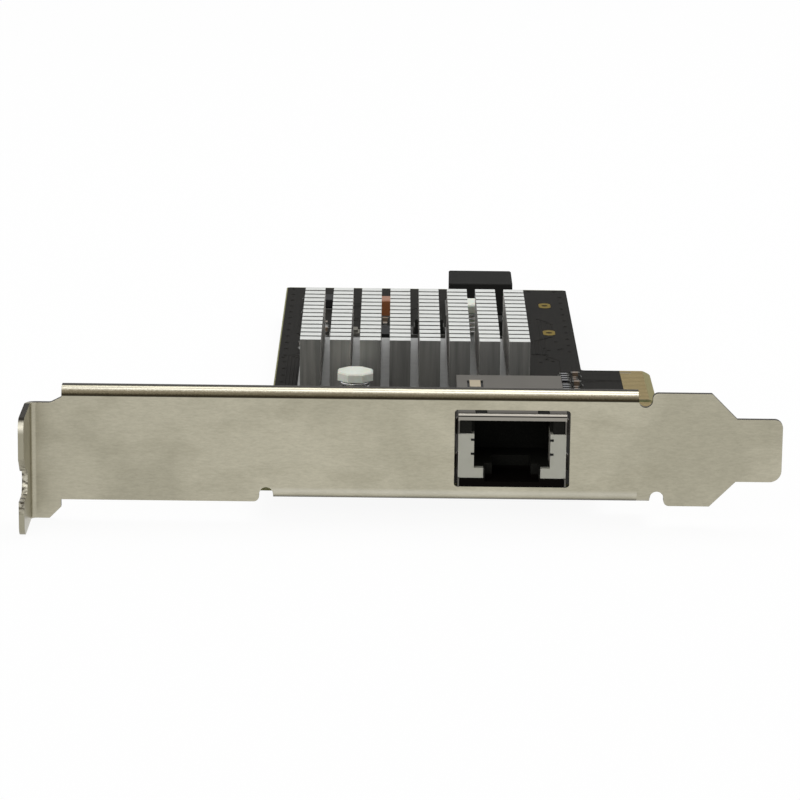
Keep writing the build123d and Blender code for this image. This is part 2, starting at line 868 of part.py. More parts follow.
with BuildPart() as power_inductor_terminals:
    middle_y = inductor_front + inductor_depth / 2
    for outer, inward in ((inductor_left, 1), (inductor_left + inductor_width, -1)):
        reach = outer + inward * terminal_foot
        wall = outer + inward * terminal_sheet
        block(
            (min(outer, reach), middle_y - terminal_width / 2, board_top),
            (max(outer, reach), middle_y + terminal_width / 2, board_top + terminal_sheet),
        )
        block(
            (min(outer, wall), middle_y - terminal_width / 2, board_top),
            (max(outer, wall), middle_y + terminal_width / 2, board_top + terminal_height),
        )
save(power_inductor_terminals.part, "power_inductor_terminals")


# Smaller components. Each kind is one group of separate solids, and its metal ends are another
def turned(size, turn):
    """Length and width of a component as they lie along x and y."""
    return (size[0], size[1]) if turn == 0 else (size[1], size[0])


def place_bodies(places, size, end=0.0, low=None):
    """The bodies of one kind, shorter by a metal end at each end of their length."""
    base = board_top if low is None else low
    for x, y, turn in places:
        wide, deep = turned((size[0] - 2 * end, size[1]), turn)
        middle_x, middle_y = board_left + x, board_front + y
        block(
            (middle_x - wide / 2, middle_y - deep / 2, base),
            (middle_x + wide / 2, middle_y + deep / 2, base + size[2]),
        )


def place_ends(places, size, end, low=None):
    """The two metal ends of each component."""
    base = board_top if low is None else low
    for x, y, turn in places:
        middle_x, middle_y = board_left + x, board_front + y
        wide, deep = turned((end, size[1]), turn)
        shift = (size[0] - end) / 2
        for side in (-1, 1):
            step_x, step_y = turned((side * shift, 0), turn)
            block(
                (middle_x + step_x - wide / 2, middle_y + step_y - deep / 2, base),
                (middle_x + step_x + wide / 2, middle_y + step_y + deep / 2, base + size[2]),
            )


def place_terminals(places, size, width, height, sheet_thickness):
    """Folded terminals that clasp the two short ends of a moulded body."""
    for x, y, turn in places:
        middle_x, middle_y = board_left + x, board_front + y
        wide, deep = turned((sheet_thickness, width), turn)
        for side in (-1, 1):
            step_x, step_y = turned((side * (size[0] + sheet_thickness) / 2, 0), turn)
            block(
                (middle_x + step_x - wide / 2, middle_y + step_y - deep / 2, board_top),
                (middle_x + step_x + wide / 2, middle_y + step_y + deep / 2, board_top + height),
            )


coupling_places = [
    (
        board_width - coupling_from_right,
        coupling_first + lane * coupling_lane + pair * coupling_pair,
        0,
    )
    for lane in range(lanes)
    for pair in (0, 1)
]
under_low = board_bottom - ceramic_size[2]

with BuildPart() as tantalum_capacitors:
    place_bodies(tantalum_places, tantalum_size)
    chamfer(tantalum_capacitors.faces().group_by(Axis.Z)[-1].edges(), body_edge)
save(tantalum_capacitors.part, "tantalum_capacitors")

with BuildPart() as tantalum_terminals:
    place_terminals(
        tantalum_places, tantalum_size, tantalum_terminal_width, tantalum_terminal_height, terminal_sheet
    )
save(tantalum_terminals.part, "tantalum_terminals")

with BuildPart() as small_inductors:
    place_bodies(coil_places, coil_size)
    chamfer(small_inductors.faces().group_by(Axis.Z)[-1].edges(), body_edge)
save(small_inductors.part, "small_inductors")

with BuildPart() as small_inductor_terminals:
    place_terminals(coil_places, coil_size, coil_terminal_width, coil_terminal_height, terminal_sheet)
save(small_inductor_terminals.part, "small_inductor_terminals")

with BuildPart() as regulator_chips:
    place_bodies(regulator_places, regulator_size)
    place_bodies(small_regulator_places, small_regulator_size)
save(regulator_chips.part, "regulator_chips")

memory_x = board_left + memory_place[0]
memory_y = board_front + memory_place[1]
memory_low = board_top + memory_lead_sheet
with BuildPart() as flash_memory:
    with BuildSketch(Plane.XY.offset(memory_low)):
        with Locations((memory_x, memory_y)):
            Rectangle(memory_size[0], memory_size[1])
    extrude(amount=memory_size[2])
    chamfer(flash_memory.faces().sort_by(Axis.Z)[-1].edges(), body_edge)
save(flash_memory.part, "flash_memory")

with BuildPart() as flash_memory_leads:
    for side in (-1, 1):
        wall = memory_x + side * memory_size[0] / 2
        top = memory_low + memory_lead_top
        knee = wall + side * memory_lead_knee
        inner = knee - side * memory_lead_sheet
        toe = wall + side * memory_lead_reach
        for index in range(memory_leads_a_side):
            lead_y = memory_y + (index - (memory_leads_a_side - 1) / 2) * memory_lead_pitch
            with BuildSketch(Plane.XZ.offset(-(lead_y + memory_lead_width / 2))):
                with BuildLine():
                    Polyline(
                        (wall, top),
                        (knee, top),
                        (knee, board_top + memory_lead_sheet),
                        (toe, board_top + memory_lead_sheet),
                        (toe, board_top),
                        (inner, board_top),
                        (inner, top - memory_lead_sheet),
                        (wall, top - memory_lead_sheet),
                        close=True,
                    )
                make_face()
            extrude(amount=memory_lead_width)
save(flash_memory_leads.part, "flash_memory_leads")

crystal_x = board_left + crystal_place[0]
crystal_y = board_front + crystal_place[1]
with BuildPart() as crystal:
    with BuildSketch(Plane.XY.offset(board_top)):
        with Locations((crystal_x, crystal_y)):
            Rectangle(crystal_size[0], crystal_size[1])
    extrude(amount=crystal_size[2] / 2)
    with BuildSketch(Plane.XY.offset(board_top + crystal_size[2] / 2)):
        with Locations((crystal_x, crystal_y)):
            RectangleRounded(
                crystal_size[0] - 2 * crystal_rim,
                crystal_size[1] - 2 * crystal_rim,
                crystal_rim,
            )
    extrude(amount=crystal_size[2] / 2)
save(crystal.part, "crystal")

with BuildPart() as ceramic_capacitors:
    place_bodies(ceramic_places, ceramic_size, ceramic_end)
    place_bodies(under_places, ceramic_size, ceramic_end, under_low)
    place_bodies(coupling_places, coupling_size, coupling_end)
save(ceramic_capacitors.part, "ceramic_capacitors")

with BuildPart() as ceramic_capacitor_ends:
    place_ends(ceramic_places, ceramic_size, ceramic_end)
    place_ends(under_places, ceramic_size, ceramic_end, under_low)
    place_ends(coupling_places, coupling_size, coupling_end)
save(ceramic_capacitor_ends.part, "ceramic_capacitor_ends")

with BuildPart() as chip_resistors:
    place_bodies(resistor_places, resistor_size, resistor_end)
save(chip_resistors.part, "chip_resistors")

with BuildPart() as chip_resistor_ends:
    place_ends(resistor_places, resistor_size, resistor_end)
save(chip_resistor_ends.part, "chip_resistor_ends")
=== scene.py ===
import math

import bpy
import numpy as np
from mathutils import Matrix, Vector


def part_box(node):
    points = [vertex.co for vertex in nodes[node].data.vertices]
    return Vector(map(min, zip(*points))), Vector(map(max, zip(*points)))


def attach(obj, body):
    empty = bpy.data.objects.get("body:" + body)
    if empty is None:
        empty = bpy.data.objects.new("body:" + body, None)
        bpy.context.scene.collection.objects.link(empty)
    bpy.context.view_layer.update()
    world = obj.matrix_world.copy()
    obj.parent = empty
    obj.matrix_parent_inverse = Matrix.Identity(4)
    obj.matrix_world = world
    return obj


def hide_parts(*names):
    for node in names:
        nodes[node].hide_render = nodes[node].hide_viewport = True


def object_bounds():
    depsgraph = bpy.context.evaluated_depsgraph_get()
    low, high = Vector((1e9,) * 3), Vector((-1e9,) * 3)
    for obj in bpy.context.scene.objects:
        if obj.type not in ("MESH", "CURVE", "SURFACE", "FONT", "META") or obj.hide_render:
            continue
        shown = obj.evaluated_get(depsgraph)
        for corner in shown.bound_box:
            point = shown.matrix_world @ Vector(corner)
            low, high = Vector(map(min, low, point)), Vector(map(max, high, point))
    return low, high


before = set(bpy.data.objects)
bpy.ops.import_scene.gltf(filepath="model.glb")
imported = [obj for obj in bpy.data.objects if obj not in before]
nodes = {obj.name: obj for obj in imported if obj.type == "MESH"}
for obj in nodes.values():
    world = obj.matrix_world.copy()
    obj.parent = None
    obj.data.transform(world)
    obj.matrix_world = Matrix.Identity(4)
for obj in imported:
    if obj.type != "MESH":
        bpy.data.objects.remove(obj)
cadLow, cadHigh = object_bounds()
mm = 0.001
print("frame loaded,", len(nodes), "nodes")


def boxOf(node):
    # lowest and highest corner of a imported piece, in millimetres
    low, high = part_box(node)
    return np.array(low) / mm, np.array(high) / mm


def bodiesOf(node):
    # lowest and highest corners of every separate body in a node: the corners of a triangle
    # take the smallest label among them, again and again until no label changes
    mesh = nodes[node].data
    spots = np.zeros(len(mesh.vertices) * 3)
    mesh.vertices.foreach_get("co", spots)
    corners = np.zeros(len(mesh.loops), np.int32)
    mesh.loops.foreach_get("vertex_index", corners)
    spots, where = np.unique(np.round(spots.reshape(-1, 3) / mm, 3), axis=0, return_inverse=True)
    faces = where.reshape(-1)[corners].reshape(-1, 3)
    label, settled = np.arange(len(spots)), False
    while not settled:
        fresh = label.copy()
        np.minimum.at(fresh, faces, label[faces].min(1)[:, None])
        fresh = fresh[fresh]
        settled = bool((fresh == label).all())
        label = fresh
    groups = [spots[label == each] for each in np.unique(label)]
    return [(group.min(0), group.max(0)) for group in groups]


# Places that several pieces share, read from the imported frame
boardLow, boardHigh = boxOf("circuit_board")
boardTop, boardUnder = boardHigh[2], boardLow[2]
jackLow, jackHigh = boxOf("jack_shield")
jackMiddle = (jackLow[0] + jackHigh[0]) / 2
sinkLow, sinkHigh = boxOf("heat_sink")
chipLow, chipHigh = boxOf("controller_substrate")
bracketLow, bracketHigh = boxOf("bracket")


# Shader helpers: each adds a node to a material's tree and gives back a socket
def startMaterial(name, color, rough, metal=0.0, **more):
    material = bpy.data.materials.new(name)
    material.use_nodes = True
    tree = material.node_tree
    tree.nodes.clear()
    output = tree.nodes.new("ShaderNodeOutputMaterial")
    shader = tree.nodes.new("ShaderNodeBsdfPrincipled")
    tree.links.new(shader.outputs["BSDF"], output.inputs["Surface"])
    shader.inputs["Base Color"].default_value = (*color, 1)
    shader.inputs["Roughness"].default_value = rough
    shader.inputs["Metallic"].default_value = metal
    for key, value in more.items():
        shader.inputs[key.replace("_", " ")].default_value = value
    return material, tree, shader


def join(tree, source, target):
    tree.links.new(source, target)


def coords(tree, stretch=(1, 1, 1)):
    # object coordinates in millimetres, stretched along each axis
    place = tree.nodes.new("ShaderNodeTexCoord")
    fit = tree.nodes.new("ShaderNodeMapping")
    fit.inputs["Scale"].default_value = [value / mm for value in stretch]
    join(tree, place.outputs["Object"], fit.inputs["Vector"])
    return fit.outputs["Vector"]


def noise(tree, scale, detail=4.0, rough=0.55, stretch=(1, 1, 1)):
    # a cloudy grain with scale cells to a millimetre; a stretch below 1 draws it out along that axis
    grain = tree.nodes.new("ShaderNodeTexNoise")
    grain.inputs["Scale"].default_value = scale
    grain.inputs["Detail"].default_value = detail
    grain.inputs["Roughness"].default_value = rough
    join(tree, coords(tree, stretch), grain.inputs["Vector"])
    return grain.outputs["Fac"]


def ramp(tree, source, *stops):
    # each stop is a position and a colour or a grey
    node = tree.nodes.new("ShaderNodeValToRGB")
    while len(node.color_ramp.elements) < len(stops):
        node.color_ramp.elements.new(0.5)
    for element, (position, color) in zip(node.color_ramp.elements, stops):
        element.position = position
        element.color = (*color, 1) if isinstance(color, tuple) else (color, color, color, 1)
    join(tree, source, node.inputs["Fac"])
    return node.outputs["Color"]


def mix(tree, share, first, second, way="MIX"):
    # a colour mix; share, first and second are sockets or plain values
    node = tree.nodes.new("ShaderNodeMix")
    node.data_type = "RGBA"
    node.blend_type = way
    for index, value in ((0, share), (6, first), (7, second)):
        if isinstance(value, bpy.types.NodeSocket):
            join(tree, value, node.inputs[index])
        elif index == 0:
            node.inputs[0].default_value = value
        else:
            node.inputs[index].default_value = (*value, 1)
    return node.outputs[2]


def work(tree, way, first, second=0.0):
    # one sum, difference, product or the like of two sockets or plain numbers
    node = tree.nodes.new("ShaderNodeMath")
    node.operation = way
    for index, value in enumerate((first, second)):
        if isinstance(value, bpy.types.NodeSocket):
            join(tree, value, node.inputs[index])
        else:
            node.inputs[index].default_value = value
    return node.outputs[0]


def times(tree, *values):
    # the product of sockets and plain numbers
    total = values[0]
    for value in values[1:]:
        total = work(tree, "MULTIPLY", total, value)
    return total


def along(tree, axis):
    # one coordinate of the surface point, in millimetres
    place = tree.nodes.new("ShaderNodeTexCoord")
    split = tree.nodes.new("ShaderNodeSeparateXYZ")
    join(tree, place.outputs["Object"], split.inputs[0])
    return work(tree, "DIVIDE", split.outputs["XYZ".index(axis)], mm)


def facing(tree, axis):
    # how squarely the surface faces along an axis, either way
    place = tree.nodes.new("ShaderNodeNewGeometry")
    split = tree.nodes.new("ShaderNodeSeparateXYZ")
    join(tree, place.outputs["Normal"], split.inputs[0])
    return work(tree, "ABSOLUTE", split.outputs["XYZ".index(axis)])


def above(tree, value, edge, soft=0.05):
    # 0 below the edge and 1 above it, over a soft step
    node = tree.nodes.new("ShaderNodeMapRange")
    node.inputs["From Min"].default_value = edge - soft
    node.inputs["From Max"].default_value = edge + soft
    join(tree, value, node.inputs["Value"])
    return node.outputs[0]


def below(tree, value, edge, soft=0.05):
    return work(tree, "SUBTRACT", 1.0, above(tree, value, edge, soft))


def between(tree, value, low, high, soft=0.05):
    return times(tree, above(tree, value, low, soft), below(tree, value, high, soft))


def roughen(tree, shader, source, low, high):
    # roughness that wanders between two values
    node = tree.nodes.new("ShaderNodeMapRange")
    node.inputs["To Min"].default_value = low
    node.inputs["To Max"].default_value = high
    join(tree, source, node.inputs["Value"])
    join(tree, node.outputs[0], shader.inputs["Roughness"])


def emboss(tree, shader, height, depth, strength=1.0, edge=0.0):
    # bump of a depth in millimetres, over edges eased by a radius in millimetres
    bump = tree.nodes.new("ShaderNodeBump")
    bump.inputs["Strength"].default_value = strength
    bump.inputs["Distance"].default_value = depth * mm
    join(tree, height, bump.inputs["Height"])
    if edge:
        eased = tree.nodes.new("ShaderNodeBevel")
        eased.samples = 4
        eased.inputs["Radius"].default_value = edge * mm
        join(tree, eased.outputs["Normal"], bump.inputs["Normal"])
    join(tree, bump.outputs["Normal"], shader.inputs["Normal"])


# The bracket's nickel plate. Heights and depths are in millimetres
bracketLook = {
    "plate": (0.52, 0.489, 0.378),
    "cloud": (0.44, 0.414, 0.316),
    "stain": (0.375, 0.35, 0.26),
    "stainShare": 0.45,
    "span": ((0.0, 0.88), (0.25, 0.94), (0.55, 1.0), (0.8, 0.94), (1.0, 0.93)),  # painted shade: the plate darker towards its ends
    "shearedAndShade": (0.030, 0.027, 0.021),
    "torn": ((0.06, 0.05, 0.035), (0.60, 0.57, 0.47)),
    "tabWall": (0.33, 0.31, 0.235),
    "tornHeights": (-1.0, 5.6),
    "glintHeights": (11.8, 13.3),   # heights of a painted glint; the edge above it is painted dark
    # down the upper bend, as shares of bendDepth: painted highlight at the crown, gold, painted dark
    # reflection bands, plate
    "bend": ((0.0, (0.50, 0.48, 0.40)), (0.24, (0.58, 0.55, 0.45)), (0.34, (0.36, 0.325, 0.24)),
             (0.43, (0.20, 0.168, 0.112)), (0.56, (0.13, 0.112, 0.072)), (0.68, (0.05, 0.041, 0.024)),
             (0.80, (0.020, 0.016, 0.009)), (0.94, (0.05, 0.044, 0.03))),
    "bendDepth": 1.6,
    "bendShare": 0.93,       # where the plate's own tone takes over
    "bendReach": 0.85,       # how far behind the plate's face those shares reach
    "grit": 0.35,            # how far the grain shifts those shares
    "lowStrip": (0.95, 1.7),  # a painted highlight strip above the lower fold, measured from the fold's bottom
    "lowShine": 0.18,
    "glint": (1.0, 0.98, 0.9),
    "lowEdge": 0.42,         # painted shade along the fold's bottom edge, and how far back it goes
    "lowReach": 1.5,
    "flangeEnd": -7.0,       # where the painted bands of both folds end, along x
    "flangeFlat": 1.35,      # how far the upper one's rear edge, painted dark as a reflection, lies behind the plate's face
    "sheet": 0.9,
    "tab": 11.43,
    "rough": (0.26, 0.42),
}


def rolledTone(tree, x):
    # clouds, stains and grain of the rolled sheet, with painted shade along the plate
    look = bracketLook
    cloud = ramp(tree, noise(tree, 0.06, 3.0, 0.6), (0.40, 0.0), (0.60, 1.0))
    stain = ramp(tree, noise(tree, 0.25, 5.0, 0.6, (0.4, 1, 1)), (0.50, 0.0), (0.74, 1.0))
    grain = noise(tree, 4.0, 5.0, 0.75, (0.25, 1, 1))
    tone = mix(tree, cloud, look["plate"], look["cloud"])
    tone = mix(tree, times(tree, stain, look["stainShare"]), tone, look["stain"])
    tone = mix(tree, 1.0, tone, ramp(tree, grain, (0.32, 0.84), (0.62, 1.0)), "MULTIPLY")
    span = work(tree, "DIVIDE", work(tree, "SUBTRACT", x, bracketLow[0]), bracketHigh[0] - bracketLow[0])
    return mix(tree, 1.0, tone, ramp(tree, span, *look["span"]), "MULTIPLY"), grain, stain


def upperBend(tree, tone, x, y, down, front):
    # painted highlight and painted dark reflection bands down the upper bend, which a fine grit shifts so
    # that their edges waver
    look = bracketLook
    speck = times(tree, noise(tree, 5.0, 3.0, 0.7), look["grit"])
    share = work(tree, "ADD", work(tree, "DIVIDE", down, look["bendDepth"]), speck)
    bend = ramp(tree, work(tree, "SUBTRACT", share, look["grit"] / 2), *look["bend"])
    inBend = times(
        tree,
        below(tree, down, look["bendDepth"] * look["bendShare"], 0.06),
        below(tree, x, look["flangeEnd"]),
        below(tree, y, front + look["bendReach"], 0.03),
    )
    return mix(tree, inBend, tone, bend)


def tabSide(tree, z):
    # the screw tab's cut side: plain, torn inside the notch, with a painted glint near the top
    look = bracketLook
    rough, bright = look["torn"]
    torn = ramp(tree, noise(tree, 1.6, 4.0, 0.7, (0.6, 1, 1)), (0.40, rough), (0.58, bright))
    torn = mix(tree, between(tree, z, *look["tornHeights"], 0.9), look["tabWall"], torn)
    return mix(tree, between(tree, z, *look["glintHeights"], 0.4), torn, bright)


def makeBracketFinish():
    # mottled nickel over rolled sheet, darker at its sheared edges, with painted highlights and painted
    # dark reflections along the folds and painted shade along the lower fold's bottom edge
    look = bracketLook
    material, tree, shader = startMaterial("nickelPlate", look["plate"], 0.33, 1.0, Specular_IOR_Level=0.02)
    x, y, z = (along(tree, axis) for axis in "XYZ")
    down = work(tree, "SUBTRACT", bracketHigh[2], z)
    front, foot = bracketLow[1] + look["tab"], boardUnder - look["sheet"]
    tone, grain, stain = rolledTone(tree, x)
    tone = upperBend(tree, tone, x, y, down, front)

    lowFold = between(tree, x, boardLow[0], look["flangeEnd"])
    # painted highlight along the lower fold
    low, high = look["lowStrip"]
    shine = times(tree, lowFold, between(tree, z, foot + low, foot + high, 0.25), look["lowShine"])
    tone = mix(tree, shine, tone, look["glint"])

    behind = above(tree, y, front + look["flangeFlat"], 0.1)
    rearEdge = times(tree, behind, below(tree, down, look["sheet"]))
    nearFront = below(tree, y, front + look["lowReach"], 0.2)
    lowEdge = times(tree, lowFold, below(tree, z, foot + look["lowEdge"], 0.35), nearFront)
    inPlate = between(tree, y, front - 0.05, front + look["sheet"] + 0.02, 0.02)
    edgeOn = times(tree, below(tree, facing(tree, "Y"), 0.5, 0.1), inPlate)
    tabWall = times(tree, below(tree, y, front - 0.5, 0.1), below(tree, facing(tree, "X"), 0.5, 0.1))
    tabTop = times(tree, tabWall, above(tree, z, look["glintHeights"][1], 0.2))
    # painted dark: a reflection at the upper fold's rear edge, shade along the lower fold's bottom, and the
    # cut edges and the tab's top edge, partly their sheared tone and partly painted shade
    dark = rearEdge
    for mask in (lowEdge, edgeOn, tabTop):
        dark = work(tree, "MAXIMUM", dark, mask)

    tone = mix(tree, tabWall, tone, tabSide(tree, z))
    join(tree, mix(tree, dark, tone, look["shearedAndShade"]), shader.inputs["Base Color"])
    join(tree, work(tree, "SUBTRACT", 1.0, dark), shader.inputs["Metallic"])
    roughen(tree, shader, work(tree, "ADD", times(tree, grain, 0.7), tabWall), *look["rough"])
    height = work(tree, "ADD", grain, times(tree, stain, 0.3))
    emboss(tree, shader, height, depth=0.007, strength=0.7, edge=0.12)
    return material


# The board: solder mask, and the bare laminate at the connector and along the cut edges
boardLook = {
    "mask": (0.0125, 0.0118, 0.0105),
    "maskPale": (0.0175, 0.0165, 0.0145),
    "laminate": (0.225, 0.195, 0.13),
    "laminatePale": (0.26, 0.225, 0.155),
    "bevel": (0.265, 0.24, 0.125),
    "rim": ((0.30, 0.30, 0.17), (0.16, 0.155, 0.07)),
    "maskEnd": 5.4,      # how far the mask stays from the connector's outer edge
    "maskGap": 0.22,     # and from the board's other edges
    "bevelDepth": 1.3,
    "bevelSlope": 0.985,  # the bevel faces up less squarely than this
    "rough": (0.55, 0.8),
}


def makeBoardFinish():
    # black solder mask with a faint weave, bare laminate round the contacts and at the cut edges
    look = boardLook
    material, tree, shader = startMaterial("solderMask", look["mask"], 0.6, Specular_IOR_Level=0.02)
    x, y, z = (along(tree, axis) for axis in "XYZ")
    weaveX = noise(tree, 1.6, 2.0, 0.5, (0.1, 1, 1))
    weaveY = noise(tree, 1.6, 2.0, 0.5, (1, 0.1, 1))
    weave = times(tree, work(tree, "ADD", weaveX, weaveY), 0.5)
    mask = mix(tree, ramp(tree, weave, (0.42, 0.0), (0.6, 1.0)), look["mask"], look["maskPale"])
    fibres = noise(tree, 2.6, 4.0, 0.6, (1, 1, 6))
    rim = mix(tree, ramp(tree, fibres, (0.4, 0.0), (0.6, 1.0)), *look["rim"])
    bare = mix(tree, weave, look["laminate"], look["laminatePale"])
    tone = mix(tree, above(tree, x, boardHigh[0] - look["maskEnd"]), mask, bare)
    nearLeft = below(tree, x, boardLow[0] + look["maskGap"], 0.03)
    nearRear = above(tree, y, boardHigh[1] - look["maskGap"], 0.03)
    tone = mix(tree, work(tree, "MAXIMUM", nearLeft, nearRear), tone, rim)
    slanted = below(tree, facing(tree, "Z"), look["bevelSlope"], 0.005)
    bevel = times(tree, slanted, above(tree, x, boardHigh[0] - look["bevelDepth"]))
    upright = times(tree, below(tree, facing(tree, "Z"), 0.5), between(tree, z, boardUnder, boardTop, 0.01))
    tone = mix(tree, upright, tone, rim)
    join(tree, mix(tree, bevel, tone, look["bevel"]), shader.inputs["Base Color"])
    roughen(tree, shader, work(tree, "ADD", times(tree, weave, 0.6), upright), *look["rough"])
    emboss(tree, shader, weave, depth=0.012, strength=0.5, edge=0.08)
    return material


def makeMetal(name, color, dark, rough, grain=4.0, stretch=(1, 1, 1), depth=0.004, edge=0.04, **more):
    # plated or tinned metal, with a grain that wanders in tone and gloss
    material, tree, shader = startMaterial(name, color, rough[0], 1.0, **more)
    fine = noise(tree, grain, 5.0, 0.65, stretch)
    tone = mix(tree, ramp(tree, fine, (0.35, 0.0), (0.7, 1.0)), color, dark)
    join(tree, tone, shader.inputs["Base Color"])
    roughen(tree, shader, fine, *rough)
    emboss(tree, shader, fine, depth, 0.7, edge)
    return material


def makeMoulding(name, color, pale, rough, grain=5.0, depth=0.01, edge=0.08, **more):
    # moulded plastic or resin: speckled tone, a fine pitted skin
    material, tree, shader = startMaterial(name, color, rough[0], **more)
    fine = noise(tree, grain, 4.0, 0.6)
    patch = noise(tree, grain * 0.06, 2.0, 0.5)
    tone = mix(tree, ramp(tree, fine, (0.4, 0.0), (0.75, 1.0)), color, pale)
    tone = mix(tree, times(tree, patch, 0.3), tone, pale)
    join(tree, tone, shader.inputs["Base Color"])
    roughen(tree, shader, times(tree, work(tree, "ADD", fine, patch), 0.5), *rough)
    emboss(tree, shader, fine, depth, 0.6, edge)
    return material


# The jack's folded shell
shieldLook = {
    "face": ((0.52, 0.49, 0.43), (0.29, 0.275, 0.24)),  # the lip's painted highlight above the fold line, and its tone below
    "lip": (0.12, 1.2),     # how far back and how far down the front lip goes
    "side": (0.36, 0.352, 0.335),
    "sideDark": (0.25, 0.245, 0.23),
    "mouthSide": (0.11, 0.104, 0.092),
    "mouth": 1.4,           # how far back the sides are in the shade of the bracket's opening
    # painted dark reflection: the top is painted darker than the sides
    "top": (0.25, 0.243, 0.233),
    "edgeTint": (0.3, 0.29, 0.27, 1),
    "crease": (0.012, 0.011, 0.009),
    "creaseDown": (0.33, 0.54),   # a painted dark reflection line along the fold in the front lip, below the jack's top
    "tongueTone": (0.64, 0.57, 0.45),
    "tongue": ((-6.55, -4.65), (17.9, 22.5)),  # from the jack's middle, and from its front
    "rough": (0.28, 0.45),
}


def makeShieldFinish():
    # tinned sheet: a pressed lip with a painted highlight and a painted dark reflection line along its
    # fold, a top painted darker as a dark reflection, dull brushed top and sides
    look = shieldLook
    material, tree, shader = startMaterial(
        "shieldSheet", look["side"], 0.35, 1.0, Specular_Tint=look["edgeTint"]
    )
    x, y, z = (along(tree, axis) for axis in "XYZ")
    brushed = noise(tree, 3.0, 5.0, 0.65, (0.1, 1, 1))
    tone = mix(tree, ramp(tree, brushed, (0.35, 0.0), (0.7, 1.0)), look["side"], look["sideDark"])
    tone = mix(tree, below(tree, y, jackLow[1] + look["mouth"], 0.3), tone, look["mouthSide"])
    down = work(tree, "SUBTRACT", jackHigh[2], z)
    onTop = times(tree, above(tree, facing(tree, "Z"), 0.8), below(tree, down, 1.0))
    tone = mix(tree, onTop, tone, look["top"])
    lip = times(tree, below(tree, y, jackLow[1] + look["lip"][0]), below(tree, down, look["lip"][1]))
    tone = mix(tree, lip, tone, mix(tree, above(tree, down, look["creaseDown"][1]), *look["face"]))
    tone = mix(tree, times(tree, lip, between(tree, down, *look["creaseDown"], 0.03)), tone, look["crease"])
    across, back = look["tongue"]
    tongue = times(
        tree,
        between(tree, x, jackMiddle + across[0], jackMiddle + across[1]),
        between(tree, y, jackLow[1] + back[0], jackLow[1] + back[1]),
        below(tree, down, 0.02, 0.01),
    )
    tone = mix(tree, tongue, tone, look["tongueTone"])
    join(tree, tone, shader.inputs["Base Color"])
    roughen(tree, shader, brushed, *look["rough"])
    emboss(tree, shader, brushed, depth=0.004, strength=0.7, edge=0.06)
    return material


# The pin-fin heat sink
sinkLook = {
    "fin": (0.30, 0.297, 0.284),
    "streak": (0.185, 0.185, 0.177),
    # painted light: the fins' sides, facing along x, are painted much lighter than their fronts
    "wall": (0.78, 0.765, 0.735),
    # painted shade: the floor between the fins is painted darker than the fins
    "floor": (0.225, 0.226, 0.22),
    # sawn tips: partly their bare cut finish, partly a painted highlight from above
    "tip": ((0.62, 0.63, 0.61), (0.50, 0.51, 0.49)),
    "base": 2.8,        # thickness under the fins
    "rough": (0.35, 0.55),
}


def makeSinkFinish():
    # extruded aluminium: soft streaks up the fins, sides painted lighter as painted light, sawn tips
    # painted brighter partly as bare cut metal and partly as painted light from above, floor between the
    # fins painted darker as painted shade
    look = sinkLook
    material, tree, shader = startMaterial("extrudedAluminium", look["fin"], 0.4, 1.0)
    z = along(tree, "Z")
    soft = noise(tree, 0.7, 2.0, 0.5, (1, 1, 0.05))
    fine = noise(tree, 3.2, 4.0, 0.65, (1, 1, 0.04))
    streaks = work(tree, "ADD", times(tree, soft, 0.75), times(tree, fine, 0.25))
    tone = mix(tree, ramp(tree, streaks, (0.38, 0.0), (0.62, 1.0)), look["fin"], look["streak"])
    tone = mix(tree, above(tree, facing(tree, "X"), 0.7), tone, look["wall"])
    baseTop = sinkLow[2] + look["base"]
    floor = times(tree, above(tree, facing(tree, "Z"), 0.7), between(tree, z, baseTop - 0.1, baseTop + 0.1))
    tone = mix(tree, floor, tone, look["floor"])
    tip = above(tree, z, sinkHigh[2] - 0.05, 0.02)
    saw = noise(tree, 5.0, 3.0, 0.6, (0.05, 1, 1))
    tipTone = mix(tree, ramp(tree, saw, (0.35, 0.0), (0.7, 1.0)), *look["tip"])
    join(tree, mix(tree, tip, tone, tipTone), shader.inputs["Base Color"])
    roughen(tree, shader, streaks, *look["rough"])
    emboss(tree, shader, mix(tree, tip, streaks, saw), depth=0.01, strength=0.6, edge=0.1)
    return material


# The jack's two light guides
lensLook = {
    "milk": ((0.365, 0.362, 0.305), (0.445, 0.44, 0.38)),
    "through": 0.3,     # share of light that goes through the surface
    "rough": (0.25, 0.42),
}


def makeLensFinish():
    # milky resin with a soft haze
    look = lensLook
    material, tree, shader = startMaterial(
        "milkyLens", look["milk"][1], 0.3,
        Subsurface_Weight=look["through"], Subsurface_Scale=mm, Specular_IOR_Level=0.3,
    )
    shader.inputs["Subsurface Radius"].default_value = (1.0, 1.0, 0.9)
    haze = noise(tree, 0.5, 3.0, 0.6)
    join(tree, mix(tree, haze, *look["milk"]), shader.inputs["Base Color"])
    roughen(tree, shader, haze, *look["rough"])
    emboss(tree, shader, haze, depth=0.01, strength=0.4, edge=0.12)
    return material


# The jack's black moulding
housingLook = {
    "black": (0.010, 0.010, 0.0085),
    "pale": (0.018, 0.018, 0.0155),
    "foot": (0.003, 0.0022, 0.0018),
    "footHeight": 2.15,     # up to this height above the board's middle it is in deeper shade
    "rough": (0.5, 0.7),
}


def makeHousingFinish():
    # black moulding, with painted shade below the light guides
    look = housingLook
    material, tree, shader = startMaterial("housingMoulding", look["black"], 0.6, Specular_IOR_Level=0.02)
    fine = noise(tree, 5.0, 4.0, 0.6)
    tone = mix(tree, ramp(tree, fine, (0.4, 0.0), (0.75, 1.0)), look["black"], look["pale"])
    foot = below(tree, along(tree, "Z"), look["footHeight"], 0.1)
    join(tree, mix(tree, foot, tone, look["foot"]), shader.inputs["Base Color"])
    roughen(tree, shader, fine, *look["rough"])
    emboss(tree, shader, fine, depth=0.01, strength=0.6, edge=0.08)
    return material


